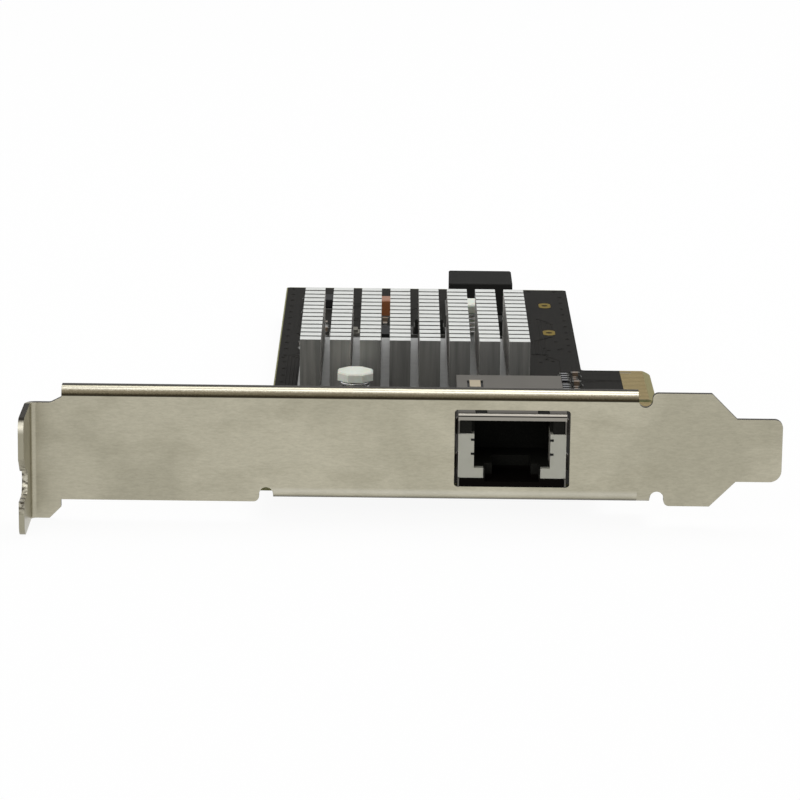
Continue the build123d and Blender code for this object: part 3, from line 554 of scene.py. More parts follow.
# Finishes by name. The plain ones give two tones and a range of roughness, then grain, relief and
# sheen where they differ from the usual
dullSheen = (0.3, 0.3, 0.3, 1)
finishes = {
    "nickel": makeBracketFinish(),
    "board": makeBoardFinish(),
    "gold": makeMetal(
        "goldPlate", (0.395, 0.33, 0.21), (0.33, 0.27, 0.165), (0.35, 0.5),
        Specular_Tint=(0.45, 0.4, 0.27, 1),
    ),
    "screwSteel": makeMetal("screwSteel", (0.50, 0.49, 0.47), (0.33, 0.325, 0.31), (0.22, 0.4)),
    "shield": makeShieldFinish(),
    "housing": makeHousingFinish(),
    "black": makeMoulding(
        "blackMoulding", (0.0045, 0.0045, 0.0045), (0.010, 0.010, 0.0095), (0.4, 0.6),
        Specular_IOR_Level=0.12,
    ),
    "lens": makeLensFinish(),
    "led": makeMoulding("ledResin", (0.66, 0.68, 0.60), (0.74, 0.75, 0.68), (0.15, 0.25), 2.0),
    "goldPad": makeMetal(
        "goldPad", (0.30, 0.245, 0.11), (0.17, 0.135, 0.065), (0.4, 0.6),
        Specular_Tint=(0.3, 0.25, 0.15, 1),
    ),
    "tin": makeMetal(
        "tinPlate", (0.235, 0.235, 0.222), (0.15, 0.15, 0.142), (0.3, 0.5), 3.0, Specular_Tint=dullSheen
    ),
    "solder": makeMetal(
        "solder", (0.25, 0.25, 0.242), (0.17, 0.17, 0.165), (0.25, 0.42), 2.0, Specular_Tint=dullSheen
    ),
    "chipBoard": makeMoulding("chipLaminate", (0.02, 0.06, 0.028), (0.04, 0.09, 0.045), (0.3, 0.45)),
    "resin": makeMoulding(
        "chipResin", (0.014, 0.014, 0.0145), (0.026, 0.026, 0.0265), (0.5, 0.7), 8.0,
        Specular_IOR_Level=0.06,
    ),
    "heatPad": makeMoulding("heatPad", (0.30, 0.33, 0.36), (0.40, 0.43, 0.46), (0.6, 0.8)),
    "sink": makeSinkFinish(),
    "nylon": makeMoulding(
        "paleNylon", (0.66, 0.69, 0.60), (0.74, 0.765, 0.69), (0.35, 0.5), 2.0, depth=0.012, edge=0.15,
        Subsurface_Weight=0.2, Subsurface_Scale=mm,
    ),
    "spring": makeMetal(
        "springWire", (0.66, 0.66, 0.65), (0.48, 0.48, 0.47), (0.18, 0.3), 3.0, depth=0.002, edge=0
    ),
    "ferrite": makeMoulding(
        "inductorComposite", (0.014, 0.014, 0.013), (0.032, 0.032, 0.030), (0.6, 0.85), 7.0, depth=0.03,
        Specular_IOR_Level=0.02,
    ),
    "tantalum": makeMoulding("tantalumResin", (0.215, 0.068, 0.018), (0.27, 0.092, 0.028), (0.4, 0.55)),
    "can": makeMetal(
        "crystalCan", (0.34, 0.33, 0.30), (0.26, 0.25, 0.225), (0.3, 0.45), 3.0, stretch=(0.1, 1, 1),
        Specular_Tint=(0.3, 0.3, 0.28, 1),
    ),
    "ceramic": makeMoulding(
        "ceramicBody", (0.15, 0.105, 0.07), (0.20, 0.145, 0.10), (0.35, 0.5), 6.0, edge=0.03
    ),
    "glaze": makeMoulding(
        "resistorGlaze", (0.014, 0.014, 0.018), (0.026, 0.026, 0.03), (0.2, 0.35), 4.0,
        depth=0.005, edge=0.03,
    ),
    "ink": makeMoulding(
        "printInk", (0.17, 0.17, 0.163), (0.25, 0.25, 0.24), (0.7, 0.85), 6.0, depth=0.003, edge=0,
        Specular_IOR_Level=0.1,
    ),
}

finishOf = {
    "circuit_board": "board",
    "edge_contacts": "gold",
    "bracket": "nickel",
    "bracket_screws": "screwSteel",
    "jack_shield": "shield",
    "jack_housing": "housing",
    "jack_lens_left": "lens",
    "jack_lens_right": "lens",
    "jack_leds": "led",
    "jack_contacts": "gold",
    "jack_module": "black",
    "jack_pins": "tin",
    "controller_substrate": "chipBoard",
    "controller_cap": "resin",
    "thermal_pad": "heatPad",
    "heat_sink": "sink",
    "push_pins": "nylon",
    "push_pin_springs": "spring",
    "power_inductor": "ferrite",
    "power_inductor_terminals": "tin",
    "tantalum_capacitors": "tantalum",
    "tantalum_terminals": "tin",
    "small_inductors": "ferrite",
    "small_inductor_terminals": "tin",
    "regulator_chips": "resin",
    "flash_memory": "resin",
    "flash_memory_leads": "tin",
    "crystal": "can",
    "ceramic_capacitors": "ceramic",
    "ceramic_capacitor_ends": "tin",
    "chip_resistors": "glaze",
    "chip_resistor_ends": "tin",
}
for name, piece in nodes.items():
    piece.data.materials.clear()
    piece.data.materials.append(finishes[finishOf[name]])
print("finishes set on", len(finishOf), "nodes")


# Shapes are kept as (points, [face rows, ...]) in millimetres, in the card's frame
def gridFaces(rows, columns, aroundRows=False, aroundColumns=False):
    # quads between neighbouring points of a grid, closed in either direction where asked
    r = np.arange(rows if aroundRows else rows - 1)[:, None]
    c = np.arange(columns if aroundColumns else columns - 1)[None, :]
    r2, c2 = (r + 1) % rows, (c + 1) % columns
    corners = [r * columns + c, r2 * columns + c, r2 * columns + c2, r * columns + c2]
    return np.stack(corners, -1).reshape(-1, 4)


def tubeFaces(rows, columns):
    # the sides of a closed outline carried along rows of points, with both ends closed
    first = np.arange(columns)[None]
    return [gridFaces(rows, columns, aroundColumns=True), first[:, ::-1], first + (rows - 1) * columns]


def facingOut(points, faceRows):
    # six times the volume is the sum of a . (b x c) over a closed shape's triangles; where it comes
    # out negative, every face is turned round
    volume = 0.0
    for rows in faceRows:
        corner = points[rows]
        for k in range(1, rows.shape[1] - 1):
            volume += (corner[:, 0] * np.cross(corner[:, k], corner[:, k + 1])).sum()
    return points, faceRows if volume > 0 else [rows[:, ::-1] for rows in faceRows]


def carried(section, path, sideways, upward, size=1.0):
    # a closed section carried along a path, with both ends closed:
    # point(i, k) = path(i) + size(i) * (section_x(k) * sideways(i) + section_y(k) * upward(i))
    section, path = np.asarray(section, float), np.asarray(path, float)
    sideways = np.broadcast_to(sideways, path.shape)
    upward = np.broadcast_to(upward, path.shape)
    size = np.broadcast_to(size, path.shape[:1])[:, None, None]
    offset = section[None, :, :1] * sideways[:, None] + section[None, :, 1:] * upward[:, None]
    points = path[:, None] + size * offset
    return facingOut(points.reshape(-1, 3), tubeFaces(*points.shape[:2]))


def turned(profile, center, sides=20):
    # a closed outline of (radius, height) swept round a vertical axis:
    # point(i, k) = center + (r(k) cos a(i), r(k) sin a(i), z(k))
    profile = np.asarray(profile, float)
    a = np.linspace(0, 2 * np.pi, sides, endpoint=False)[:, None]
    r, z = profile[None, :, 0], profile[None, :, 1]
    points = np.stack([r * np.cos(a), r * np.sin(a), z + 0 * a], -1).reshape(-1, 3) + center
    return facingOut(points, [gridFaces(sides, len(profile), True, True)])


def copies(shape, places):
    # the same small shape at many places: every point is its own place plus the copy's
    points, faceRows = shape
    places = np.asarray(places, float)
    many = (places[:, None, :] + points[None]).reshape(-1, 3)
    shift = np.arange(len(places))[:, None, None] * len(points)
    return many, [(rows[None] + shift).reshape(-1, rows.shape[1]) for rows in faceRows]


def strip(route, width, low, high):
    # a low flat strip along a route in the board's plane; each corner moves sideways along the
    # mean normal of its two runs, divided by the cosine of half the turn, so the width stays even
    route = np.asarray(route, float)
    run = np.diff(route, axis=0)
    run /= np.linalg.norm(run, axis=1, keepdims=True)
    normal = np.stack([-run[:, 1], run[:, 0]], -1)
    before, after = np.concatenate([normal[:1], normal]), np.concatenate([normal, normal[-1:]])
    mean = before + after
    mean /= np.linalg.norm(mean, axis=1, keepdims=True)
    mitre = mean / (mean * before).sum(1, keepdims=True)
    half, ease = width / 2, min(abs(high - low), width * 0.2)
    section = np.array([(-half, low), (half, low), (half - ease, high), (ease - half, high)])
    flat = route[:, None] + section[None, :, :1] * mitre[:, None]
    points = np.concatenate([flat, np.broadcast_to(section[None, :, 1:], (len(route), 4, 1))], -1)
    return facingOut(points.reshape(-1, 3), tubeFaces(len(route), 4))


def addPiece(name, shapes, finish, angle=35):
    # one object of many closed shapes, smooth up to an angle in degrees, that rides with the card
    points, faces, start = [], [], 0
    for shapePoints, faceRows in shapes:
        points.append(shapePoints)
        for rows in faceRows:
            faces += (rows + start).tolist()
        start += len(shapePoints)
    mesh = bpy.data.meshes.new(name)
    mesh.from_pydata((np.concatenate(points) * mm).tolist(), [], faces)
    mesh.polygons.foreach_set("use_smooth", np.full(len(mesh.polygons), True))
    mesh.set_sharp_from_angle(angle=math.radians(angle))
    mesh.materials.append(finishes[finish])
    piece = bpy.data.objects.new(name, mesh)
    bpy.context.scene.collection.objects.link(piece)
    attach(piece, "root")
    return piece


# Coil springs of the push pins
coilLook = {
    "turns": 5.5,
    "flatTurns": 0.9,   # at each end, where the wire lies almost on itself
    "creep": 0.7,       # how far it climbs there in a turn, as a share of the wire's radius
    "wire": 0.45,
    "taper": 0.75,      # the wire's size at its cut ends
    "sides": 12,
    "perTurn": 32,
}


def coil(low, high, outer, center):
    # helix: the angle grows evenly; the height creeps up over the flat turns at both ends and climbs
    # evenly between them; the wire is a circle carried along it
    look = coilLook
    t = np.linspace(0, look["turns"], int(look["turns"] * look["perTurn"]))
    radius = look["wire"] / 2
    climb = np.clip((t - look["flatTurns"]) / (look["turns"] - 2 * look["flatTurns"]), 0, 1)
    flat = np.clip(t, 0, look["flatTurns"]) + np.clip(t - look["turns"] + look["flatTurns"], 0, None)
    creep = look["creep"] * radius * flat
    z = low + radius + creep + climb * (high - low - 2 * radius - creep[-1])
    angle = 2 * np.pi * t
    out = np.stack([np.cos(angle), np.sin(angle), 0 * angle], -1)
    path = (outer - radius) * out + np.stack([center[0] + 0 * z, center[1] + 0 * z, z], -1)
    ahead = np.gradient(path, axis=0)
    ahead /= np.linalg.norm(ahead, axis=1, keepdims=True)
    a = np.linspace(0, 2 * np.pi, look["sides"], endpoint=False)
    circle = radius * np.stack([np.cos(a), np.sin(a)], -1)
    cut = 1.25 / look["perTurn"]  # takes in two points at either end
    size = np.where((t < cut) | (t > look["turns"] - cut), look["taper"], 1.0)
    return carried(circle, path, out, np.cross(ahead, out), size)


for index, (low, high) in enumerate(bodiesOf("push_pin_springs")):
    turns = coil(low[2], high[2], (high[0] - low[0]) / 2, (low + high) / 2)
    piece = addPiece("pushPinCoil" + str(index + 1), [turns], "spring", 60)
    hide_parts("push_pin_springs")
print("springs wound")


# Formed contacts in the jack's plug cavity
contactLook = {
    "nose": 0.42,       # radius of the bend at the mouth
    "noseEnd": 1.42,    # where the bend ends, in half turns from level
    "armReach": 6.6,    # how far back the arm's tip lies
    "sag": 0.22,
    "thick": 0.3,
    "corner": 0.07,
    "steps": 14,
}


def contactShape(low, high):
    # path in an upright plane: along the roof, round the nose as an arc, then down a straight arm
    # raised by sag * sin(pi s); the section is a rectangle with cut corners
    look = contactLook
    r, half = look["nose"], look["thick"] / 2
    roof, noseY = high[2] - half, low[1] + half + look["nose"]
    turn = np.linspace(np.pi / 2, look["noseEnd"] * np.pi, look["steps"])
    nose = np.stack([noseY + r * np.cos(turn), roof - r + r * np.sin(turn)], -1)
    s = np.linspace(0, 1, look["steps"])[1:, None]
    tip = np.array([low[1] + look["armReach"], low[2] + half])
    arm = nose[-1] + s * (tip - nose[-1])
    arm[:, 1] += look["sag"] * np.sin(np.pi * s[:, 0])
    flat = np.concatenate([[[high[1], roof]], nose, arm])
    path = np.insert(flat, 0, (low[0] + high[0]) / 2, axis=1)
    ahead = np.gradient(flat, axis=0)
    ahead /= np.linalg.norm(ahead, axis=1, keepdims=True)
    upward = np.stack([0 * ahead[:, 0], -ahead[:, 1], ahead[:, 0]], -1)
    wide, c = (high[0] - low[0]) / 2, look["corner"]
    quarter = np.array([(wide, half - c), (wide - c, half)])
    section = np.concatenate([quarter, quarter[::-1] * (-1, 1), -quarter, quarter[::-1] * (1, -1)])
    return carried(section, path, (1, 0, 0), upward)


springs = [contactShape(low, high) for low, high in bodiesOf("jack_contacts")]
contacts = addPiece("jackSpringContacts", springs, "gold")
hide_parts("jack_contacts")


# Small black latches of the housing that hold the light guides
latchLook = {
    "heights": (8.46, 6.16),
    "inner": 6.0,       # from the jack's middle to each light guide's inner edge
    "reach": 0.56,      # over the light guide, and a little under the housing
    "tuck": 0.02,
    "thick": 0.4,
    "deep": 0.4,
    "proud": 0.07,
    "corner": 0.1,
}


def roundedBar(size, corner, steps=4):
    # outline of a rectangle with quarter-circle corners, anticlockwise
    a = np.linspace(0, np.pi / 2, steps)
    quarter = corner * np.stack([np.cos(a), np.sin(a)], -1)
    x, y = size[0] / 2 - corner, size[1] / 2 - corner
    turns = ((1, 0), (0, 1), (-1, 0), (0, -1))
    places = ((x, y), (-x, y), (-x, -y), (x, -y))
    return np.concatenate([quarter @ np.array([(c, s), (-s, c)]) + at for (c, s), at in zip(turns, places)])


def latchShapes():
    # a small rounded bar carried sideways over each lens's inner edge
    look = latchLook
    depth = look["deep"] + look["proud"]
    bar = roundedBar((depth, look["thick"]), look["corner"])
    housingLow, housingHigh = boxOf("jack_housing")
    middle = (housingLow[0] + housingHigh[0]) / 2
    y = boxOf("jack_lens_left")[0][1] - look["proud"] + depth / 2
    for side in (1, -1):
        inner = middle - side * look["inner"]
        for height in look["heights"]:
            path = [(inner - side * look["reach"], y, height), (inner + side * look["tuck"], y, height)]
            yield carried(bar, path, (0, 1, 0), (0, 0, 1))


addPiece("lensLatches", list(latchShapes()), "black")
print("jack contacts and latches formed")


# Solder: fillets at the small components' ends, cones round the pins below the board
solderLook = {
    "reach": 0.42,      # how far a fillet runs out, at most
    "climb": 0.62,      # share of the end's height that it wets, up to a limit
    "limit": 0.75,
    "slope": (0.75, 0.08),  # a low fillet runs out by this share of its height, and a little more
    "spread": 0.06,
    "tuck": 0.02,
    "pad": 0.03,
    "steps": 6,
    "pinCone": (0.78, 0.36, 0.75),  # radius at the board, radius of the pin, height
    "tailCone": (1.25, 0.8, 0.8),
    "hollow": 2.2,      # how strongly the cones are hollowed
    "tails": ((-8.475, 8.475), (12.4, 20.5)),  # the shell's tails, from its middle and its front
}


def endFillets(endNode, bodyNode):
    # concave fillet: out = reach (1 - sin t), up = rise (1 - cos t) for t from 0 to a quarter turn,
    # carried along the width of each end, on the side that faces away from its component
    look = solderLook
    bodies = np.array([(low + high) / 2 for low, high in bodiesOf(bodyNode)])
    t = np.linspace(0, np.pi / 2, look["steps"])
    for low, high in bodiesOf(endNode):
        middle = (low + high) / 2
        gap = middle - bodies[np.argmin(np.linalg.norm(bodies - middle, axis=1))]
        axis = int(np.argmax(np.abs(gap[:2])))
        away = np.zeros(3)
        away[axis] = np.sign(gap[axis])
        up, ground = (1.0, boardTop) if middle[2] > 0 else (-1.0, boardUnder)
        tall = max(high[2] - boardTop, boardUnder - low[2])
        rise = min(look["climb"] * tall, look["limit"])
        reach = min(look["reach"], look["slope"][0] * rise + look["slope"][1])
        curve = np.stack([reach * (1 - np.sin(t)), look["pad"] + rise * (1 - np.cos(t))], -1)
        section = np.concatenate([[(-look["tuck"], 0), (reach, 0)], curve, [(-look["tuck"], curve[-1, 1])]])
        ends = np.array([middle, middle])
        ends[:, axis] = high[axis] if away[axis] > 0 else low[axis]
        ends[:, 2] = ground
        ends[0, 1 - axis] = low[1 - axis] - look["spread"]
        ends[1, 1 - axis] = high[1 - axis] + look["spread"]
        yield carried(section, ends, away, (0, 0, up))


fillets = []
for endNode, bodyNode in (
    ("ceramic_capacitor_ends", "ceramic_capacitors"),
    ("chip_resistor_ends", "chip_resistors"),
    ("tantalum_terminals", "tantalum_capacitors"),
    ("small_inductor_terminals", "small_inductors"),
    ("power_inductor_terminals", "power_inductor"),
):
    fillets += list(endFillets(endNode, bodyNode))
addPiece("solderFillets", fillets, "solder", 50)


def solderCone(radius, pin, tall, steps=7):
    # hollowed cone: r = pin + (radius - pin) (1 - s)^hollow at depth s * tall, closed inside the pin
    s = np.linspace(0, 1, steps)
    outer = np.stack([pin + (radius - pin) * (1 - s) ** solderLook["hollow"], -s * tall], -1)
    inner = pin * 0.6
    return turned(np.concatenate([[(inner, 0.0)], outer, [(inner, -tall)]]), np.zeros(3))


pinSpots = np.array([(low + high) / 2 for low, high in bodiesOf("jack_pins")])
pinSpots[:, 2] = boardUnder
across, back = solderLook["tails"]
tailSpots = [(jackMiddle + x, jackLow[1] + y, boardUnder) for x in across for y in back]
cones = [
    copies(solderCone(*solderLook["pinCone"]), pinSpots),
    copies(solderCone(*solderLook["tailCone"]), tailSpots),
]
addPiece("solderCones", cones, "solder", 60)
print("solder added,", len(fillets), "fillets")


# Tracks, vias, pads and print on the board. Their heights are above its bare surface
trackLook = {
    "high": 0.04,
    "sunk": 0.02,       # how far they reach into the board
    "fine": 0.28,       # widths of signal tracks and of power tracks
    "power": 1.9,
}

# Pairs of tracks from the connector to the chip, each track by its own coupling capacitor
laneLook = {
    "row": -13.8,       # x of the row of capacitors
    "before": (-5.5, -9.5, -10.3, -12.9),  # x of the corners from the finger to the capacitor
    "after": (-14.7, -16.8),  # and of the first two beyond it
    "squeeze": 0.4,     # how much closer the two fingers of a pair lie than their capacitors
    "slant": (0.8, 0.2),  # length of the slanted run: a share of its rise, and a little more
    "toChip": 0.2,
    "pair": 0.5,
    "step": 4.0,
    "besideKey": 1.75,  # how far tracks keep from the middle of the key slot
}

# Tracks that fan in from the jack to the chip: each face's start and end, and where they turn
fanLook = {
    "count": 8,
    "widePitch": 1.5,
    "finePitch": 0.75,
    "top": ((jackMiddle, jackHigh[1] + 0.6), (-37.0, chipLow[1] - 0.3), (0.16, 0.5)),
    "under": ((jackMiddle, -33.5), (-40.0, -6.0), (0.2, 0.6)),
}

# Bundles of tracks side by side: how many, then each corner's x and y and its step to the next track
topBundles = {
    "leftEdge": (4, [(-65, -38, 0.62, 1.4), (-65, 31, 0.62, -0.9), (-59, 37, 0.62, -0.9),
                     (-59, 40, 0.62, 0)]),
    "memoryRight": (4, [(-53.9, 70.9, 0, 1.27), (-52.4, 70.9, 0.4, 1.27), (-52.4, 60, 0.4, 0),
                        (-45.6, 41, 0.5, 0), (-45.6, 25, 0.5, 0)]),
    "memoryLeft": (4, [(-60.9, 70.9, 0, 1.27), (-62.2, 69.6, -0.5, 1.27), (-62.2, 46, -0.5, 1)]),
    "crystalRight": (1, [(-53, 47, 0, 0), (-51.2, 44, 0, 0), (-51.2, 25, 0, 0)]),
    "crystalLeft": (1, [(-56.6, 47, 0, 0), (-56.6, 42, 0, 0), (-52, 37, 0, 0), (-52, 25, 0, 0)]),
    "regulators": (5, [(-20.4, 34, 0.6, 0), (-20.4, 44, 0.6, 0.6), (-18.6, 46, 0.6, 0.6),
                       (-18.6, 63, 0.6, -1)]),
}
underBundles = {
    "pairsFront": (6, [(-5.5, -9.85, 0, 4.9), (-13, -9.85, 0, 4.9), (-18, -0.94, 0, 1.96),
                       (-30, -0.94, 0, 1.96)]),
    "pairsRear": (6, [(-5.5, -9.35, 0, 4.9), (-13, -9.35, 0, 4.9), (-18, -0.74, 0, 1.96),
                      (-30, -0.74, 0, 1.96)]),
    "left": (5, [(-58, 14, 0.8, 0), (-58, 40, 0.8, 1), (-62, 46, 0.8, 1), (-62, 76, 0.8, -2)]),
    "right": (5, [(-44, 24, 0.8, 0), (-44, 36, 0.8, 0), (-40, 41, 0.8, 0), (-40, 60, 0.8, 2)]),
}

# Broad power tracks, corner by corner
topPower = [
    [(-36.6, 71.9), (-42.0, 71.9), (-43.4, 70.0), (-43.4, 53.0)],
    [(-22.6, 71.9), (-20.9, 70.0), (-20.9, 60.0), (-24.4, 55.5)],
    [(-43.0, 46.0), (-39.6, 42.5), (-39.6, 25.0)],
    [(-28.8, 49.4), (-31.4, 46.0), (-31.4, 34.8)],
    [(-33.0, 53.2), (-36.0, 53.2)],
    [(-17.4, 33.0), (-15.0, 29.6), (-15.0, 20.5)],
    [(-46.4, -40.0), (-46.4, -30.5), (-43.0, -26.0), (-43.0, -18.5)],
]
underPower = [
    [(-34.0, 73.0), (-46.0, 73.0), (-50.0, 68.0), (-50.0, 30.0)],
    [(-25.0, 75.0), (-18.0, 69.0), (-18.0, 30.0), (-15.0, 27.0), (-15.0, 21.0)],
    [(-60.0, -38.0), (-60.0, 6.0), (-55.0, 12.0)],
]


def trackShapes(routes, width, top=True):
    # a strip along each route, on the upper or the lower face
    face, away = (boardTop, 1) if top else (boardUnder, -1)
    low, high = face - away * trackLook["sunk"], face + away * trackLook["high"]
    return [strip(route, width, low, high) for route in routes]


def laneRoutes():
    # finger, coupling capacitor, then a pair side by side to the chip
    look = laneLook
    parts = sorted(bodiesOf("ceramic_capacitors"), key=lambda box: box[0][1])
    middles = [(low + high) / 2 for low, high in parts]
    rows = [middle[1] for middle in middles if abs(middle[0] - look["row"]) < 0.06]
    finger, turn, slanted, capacitor = look["before"]
    leave, spread = look["after"]
    chipMiddle, chipEdge = (chipLow[1] + chipHigh[1]) / 2, chipHigh[0] + look["toChip"]
    routes = []
    for index, y in enumerate(rows):
        lane, side = divmod(index, 2)
        laneY = chipMiddle + (lane - (len(rows) / 2 - 1) / 2) * look["step"]
        inner = laneY + (side - 0.5) * look["pair"]
        outer = y + (0.5 - side) * look["squeeze"]
        outer = math.copysign(max(abs(outer), look["besideKey"]), outer)
        routes.append([(finger, outer), (turn, outer), (slanted, y), (capacitor, y)])
        run = abs(inner - y) * look["slant"][0] + look["slant"][1]
        routes.append([(leave, y), (spread, y), (spread - run, inner), (chipEdge, inner)])
    return routes


def fanRoutes(start, end, turns):
    # tracks from a wide row of points to a fine one: straight, slanted and straight again, turning at
    # two shares of the way
    look = fanLook
    k = np.arange(look["count"]) - (look["count"] - 1) / 2
    first, second = (start[1] + (end[1] - start[1]) * share for share in turns)
    pairs = zip(start[0] + k * look["widePitch"], end[0] + k * look["finePitch"])
    return [[(a, start[1]), (a, first), (b, second), (b, end[1])] for a, b in pairs]


def bundleRoutes(bundles):
    # each corner of a bundle's track k lies at the corner's first place + k * its step
    routes = []
    for count, corners in bundles.values():
        corners = np.array(corners, float)
        routes += list(corners[:, :2] + np.arange(count)[:, None, None] * corners[:, 2:])
    return routes


topFan = fanRoutes(*fanLook["top"])
bundled = bundleRoutes(topBundles)
signals = laneRoutes() + topFan + bundled
underSignals = fanRoutes(*fanLook["under"]) + bundleRoutes(underBundles)
topTracks = trackShapes(signals, trackLook["fine"]) + trackShapes(topPower, trackLook["power"])
underTracks = trackShapes(underSignals, trackLook["fine"], False)
underTracks += trackShapes(underPower, trackLook["power"], False)
addPiece("boardTracksTop", topTracks, "board")
addPiece("boardTracksUnder", underTracks, "board")
print("tracks laid,", len(signals) + len(topPower), "on top,", len(underSignals) + len(underPower), "below")


# Vias: along the edges, at the tracks' ends and scattered in three areas
viaLook = {
    "outer": 0.36,
    "hole": 0.13,
    "high": 0.05,
    "sunk": 0.02,
    "inset": 1.4,       # of those along the edges: from the edge, and from each other
    "spacing": 5.1,
    "rightEdge": -12.3,  # the board's edge beside the connector
    "connector": (-22, 32),  # none between these places along that edge
    "front": -40.0,
    "frontRow": -44.5,  # a row across the front, and where it ends beside the jack
    "frontEnd": -38.0,
    "seed": 7,
    "areas": ((10, (-66, -59), (-36, 30)), (14, (-63, -47), (56, 68)), (12, (-20, -15), (26, 45))),
}


def ring(outer, inner, low, high, sides=10):
    # flat ring: a rectangle of (radius, height) turned round a vertical axis
    return turned([(outer, low), (outer, high), (inner, high), (inner, low)], np.zeros(3), sides)


def stitchSpots():
    # evenly spaced along the edges, leaving out the connector, the jack and the bracket's screws
    look = viaLook
    left, right = boardLow[0] + look["inset"], look["rightEdge"] - look["inset"]
    rear = boardHigh[1] - look["inset"]
    xs = np.arange(left, right, look["spacing"])
    ys = np.arange(look["front"], rear, look["spacing"])
    spots = [(left, y) for y in ys] + [(x, rear) for x in xs]
    spots += [(right, y) for y in ys if not look["connector"][0] <= y <= look["connector"][1]]
    return spots + [(x, look["frontRow"]) for x in xs if x < look["frontEnd"]]


def scatteredSpots():
    # evenly random places in each area: how many, then its range along x and along y
    draw = np.random.default_rng(viaLook["seed"])
    areas = viaLook["areas"]
    return [np.stack([draw.uniform(*xs, count), draw.uniform(*ys, count)], 1) for count, xs, ys in areas]


trackEnds = [route[0] for route in topFan + bundled] + [route[-1] for route in bundled]
viaSpots = np.concatenate([stitchSpots(), *scatteredSpots(), trackEnds])
topVia = ring(viaLook["outer"], viaLook["hole"], -viaLook["sunk"], viaLook["high"])
underVia = ring(viaLook["outer"], viaLook["hole"], -viaLook["high"], viaLook["sunk"])
vias = [
    copies(topVia, np.insert(viaSpots, 2, boardTop, axis=1)),
    copies(underVia, np.insert(viaSpots, 2, boardUnder, axis=1)),
]
addPiece("boardVias", vias, "board", 30)
print("vias set,", len(viaSpots), "on each face")


# On top two bare gold pads, each with a hole, and below a row of test pads
padLook = {
    "wide": 2.3,
    "long": 4.2,
    "hole": 0.62,       # radius
    "high": 0.045,
    "sunk": 0.02,
    "x": -16.9,
    "ys": (74.55, 51.5),
}
testPadLook = {
    "count": 9,
    "radius": 0.75,
    "hole": 0.12,
    "high": 0.04,
    "sunk": 0.01,
    "first": (-56.0, 80.0),
    "step": 4.2,
    "stagger": 2.0,     # every other one stands this much further back
}


def slottedPad(center, sides=28):
    # outer outline: a circle of the pad's width whose halves are moved apart lengthwise; inner
    # outline: the hole; both at two heights and joined as a closed ring
    look = padLook
    a = np.linspace(0, 2 * np.pi, sides, endpoint=False)
    across, lengthwise = np.cos(a), np.sin(a)
    half, apart = look["wide"] / 2, (look["long"] - look["wide"]) / 2
    outer = np.stack([half * across, half * lengthwise + apart * np.sign(lengthwise), 0 * a], -1)
    inner = np.stack([look["hole"] * across, look["hole"] * lengthwise, 0 * a], -1)
    low, high = np.array((0, 0, -look["sunk"])), np.array((0, 0, look["high"]))
    loops = np.stack([outer + low, outer + high, inner + high, inner + low])
    return facingOut(loops.reshape(-1, 3) + center, [gridFaces(4, sides, True, True)])


def testPads():
    # rings in a staggered row
    look = testPadLook
    k = np.arange(look["count"])
    x, y = look["first"][0] + look["step"] * k, look["first"][1] + look["stagger"] * (k % 2)
    pad = ring(look["radius"], look["hole"], -look["high"], look["sunk"], 16)
    return copies(pad, np.stack([x, y, np.full(len(k), boardUnder)], 1))


pads = [slottedPad((padLook["x"], y, boardTop)) for y in padLook["ys"]] + [testPads()]
addPiece("boardPads", pads, "goldPad", 40)


# Printed outlines round the components, short lines along the small ones, dots and bars
printLook = {
    "line": 0.18,
    "high": 0.055,
    "sunk": 0.01,
    "apart": 0.45,      # from a component to its outline
    "sideLine": 0.8,    # width of the small components' side lines, as a share of a line's
    "sideGap": 0.22,
    "dot": (0.35, 0.05),  # its radii
    "dotShift": (-1.3, -0.4),
    "bar": 0.5,         # beside a tantalum capacitor's end
    "barShift": -1.0,
    "sinkInset": 0.4,   # the heat sink's outline lies inside its edge
    "aroundPins": 0.5,
    "outlined": ("power_inductor", "tantalum_capacitors", "small_inductors", "regulator_chips",
                 "flash_memory", "crystal"),
    "dotted": ("regulator_chips", "flash_memory", "crystal"),
}


def outline(low, high, top=True):
    # rectangular ring: four corners on two outlines and two heights
    look = printLook
    level, away = (boardTop, 1) if top else (boardUnder, -1)
    inner, outer = look["apart"], look["apart"] + look["line"]
    foot, crest = -look["sunk"], look["high"]
    loops = []
    for spread, rise in ((outer, foot), (outer, crest), (inner, crest), (inner, foot)):
        x0, y0, x1, y1 = low[0] - spread, low[1] - spread, high[0] + spread, high[1] + spread
        z = level + away * rise
        loops.append([(x0, y0, z), (x1, y0, z), (x1, y1, z), (x0, y1, z)])
    return facingOut(np.array(loops).reshape(-1, 3), [gridFaces(4, 4, True, True)])


def printedLine(route, width):
    # a line along a route on the upper face
    return strip(route, width, boardTop - printLook["sunk"], boardTop + printLook["high"])


def sideMarks(bodyNode, endNode):
    # two short lines along the sides of each small component on top, clear of its ends
    look = printLook
    ends = np.array([(low + high) / 2 for low, high in bodiesOf(endNode)])
    for low, high in bodiesOf(bodyNode):
        if high[2] < 0:
            continue
        middle = (low + high) / 2
        gap = ends[np.argmin(np.linalg.norm(ends - middle, axis=1))] - middle
        axis = int(np.argmax(np.abs(gap[:2])))
        for side in (-1, 1):
            route = np.array([middle[:2], middle[:2]])
            route[:, 1 - axis] += side * ((high - low)[1 - axis] / 2 + look["sideGap"])
            route[:, axis] = low[axis], high[axis]
            yield printedLine(route, look["line"] * look["sideLine"])


def componentMarks():
    # outlines of the larger components on top, with a bar beside each tantalum capacitor
    look = printLook
    for name in look["outlined"]:
        for low, high in bodiesOf(name):
            if high[2] < 0:
                continue
            yield outline(low, high)
            if name == "tantalum_capacitors":
                x = low[0] + look["barShift"]
                yield printedLine([(x, low[1]), (x, high[1])], look["bar"])


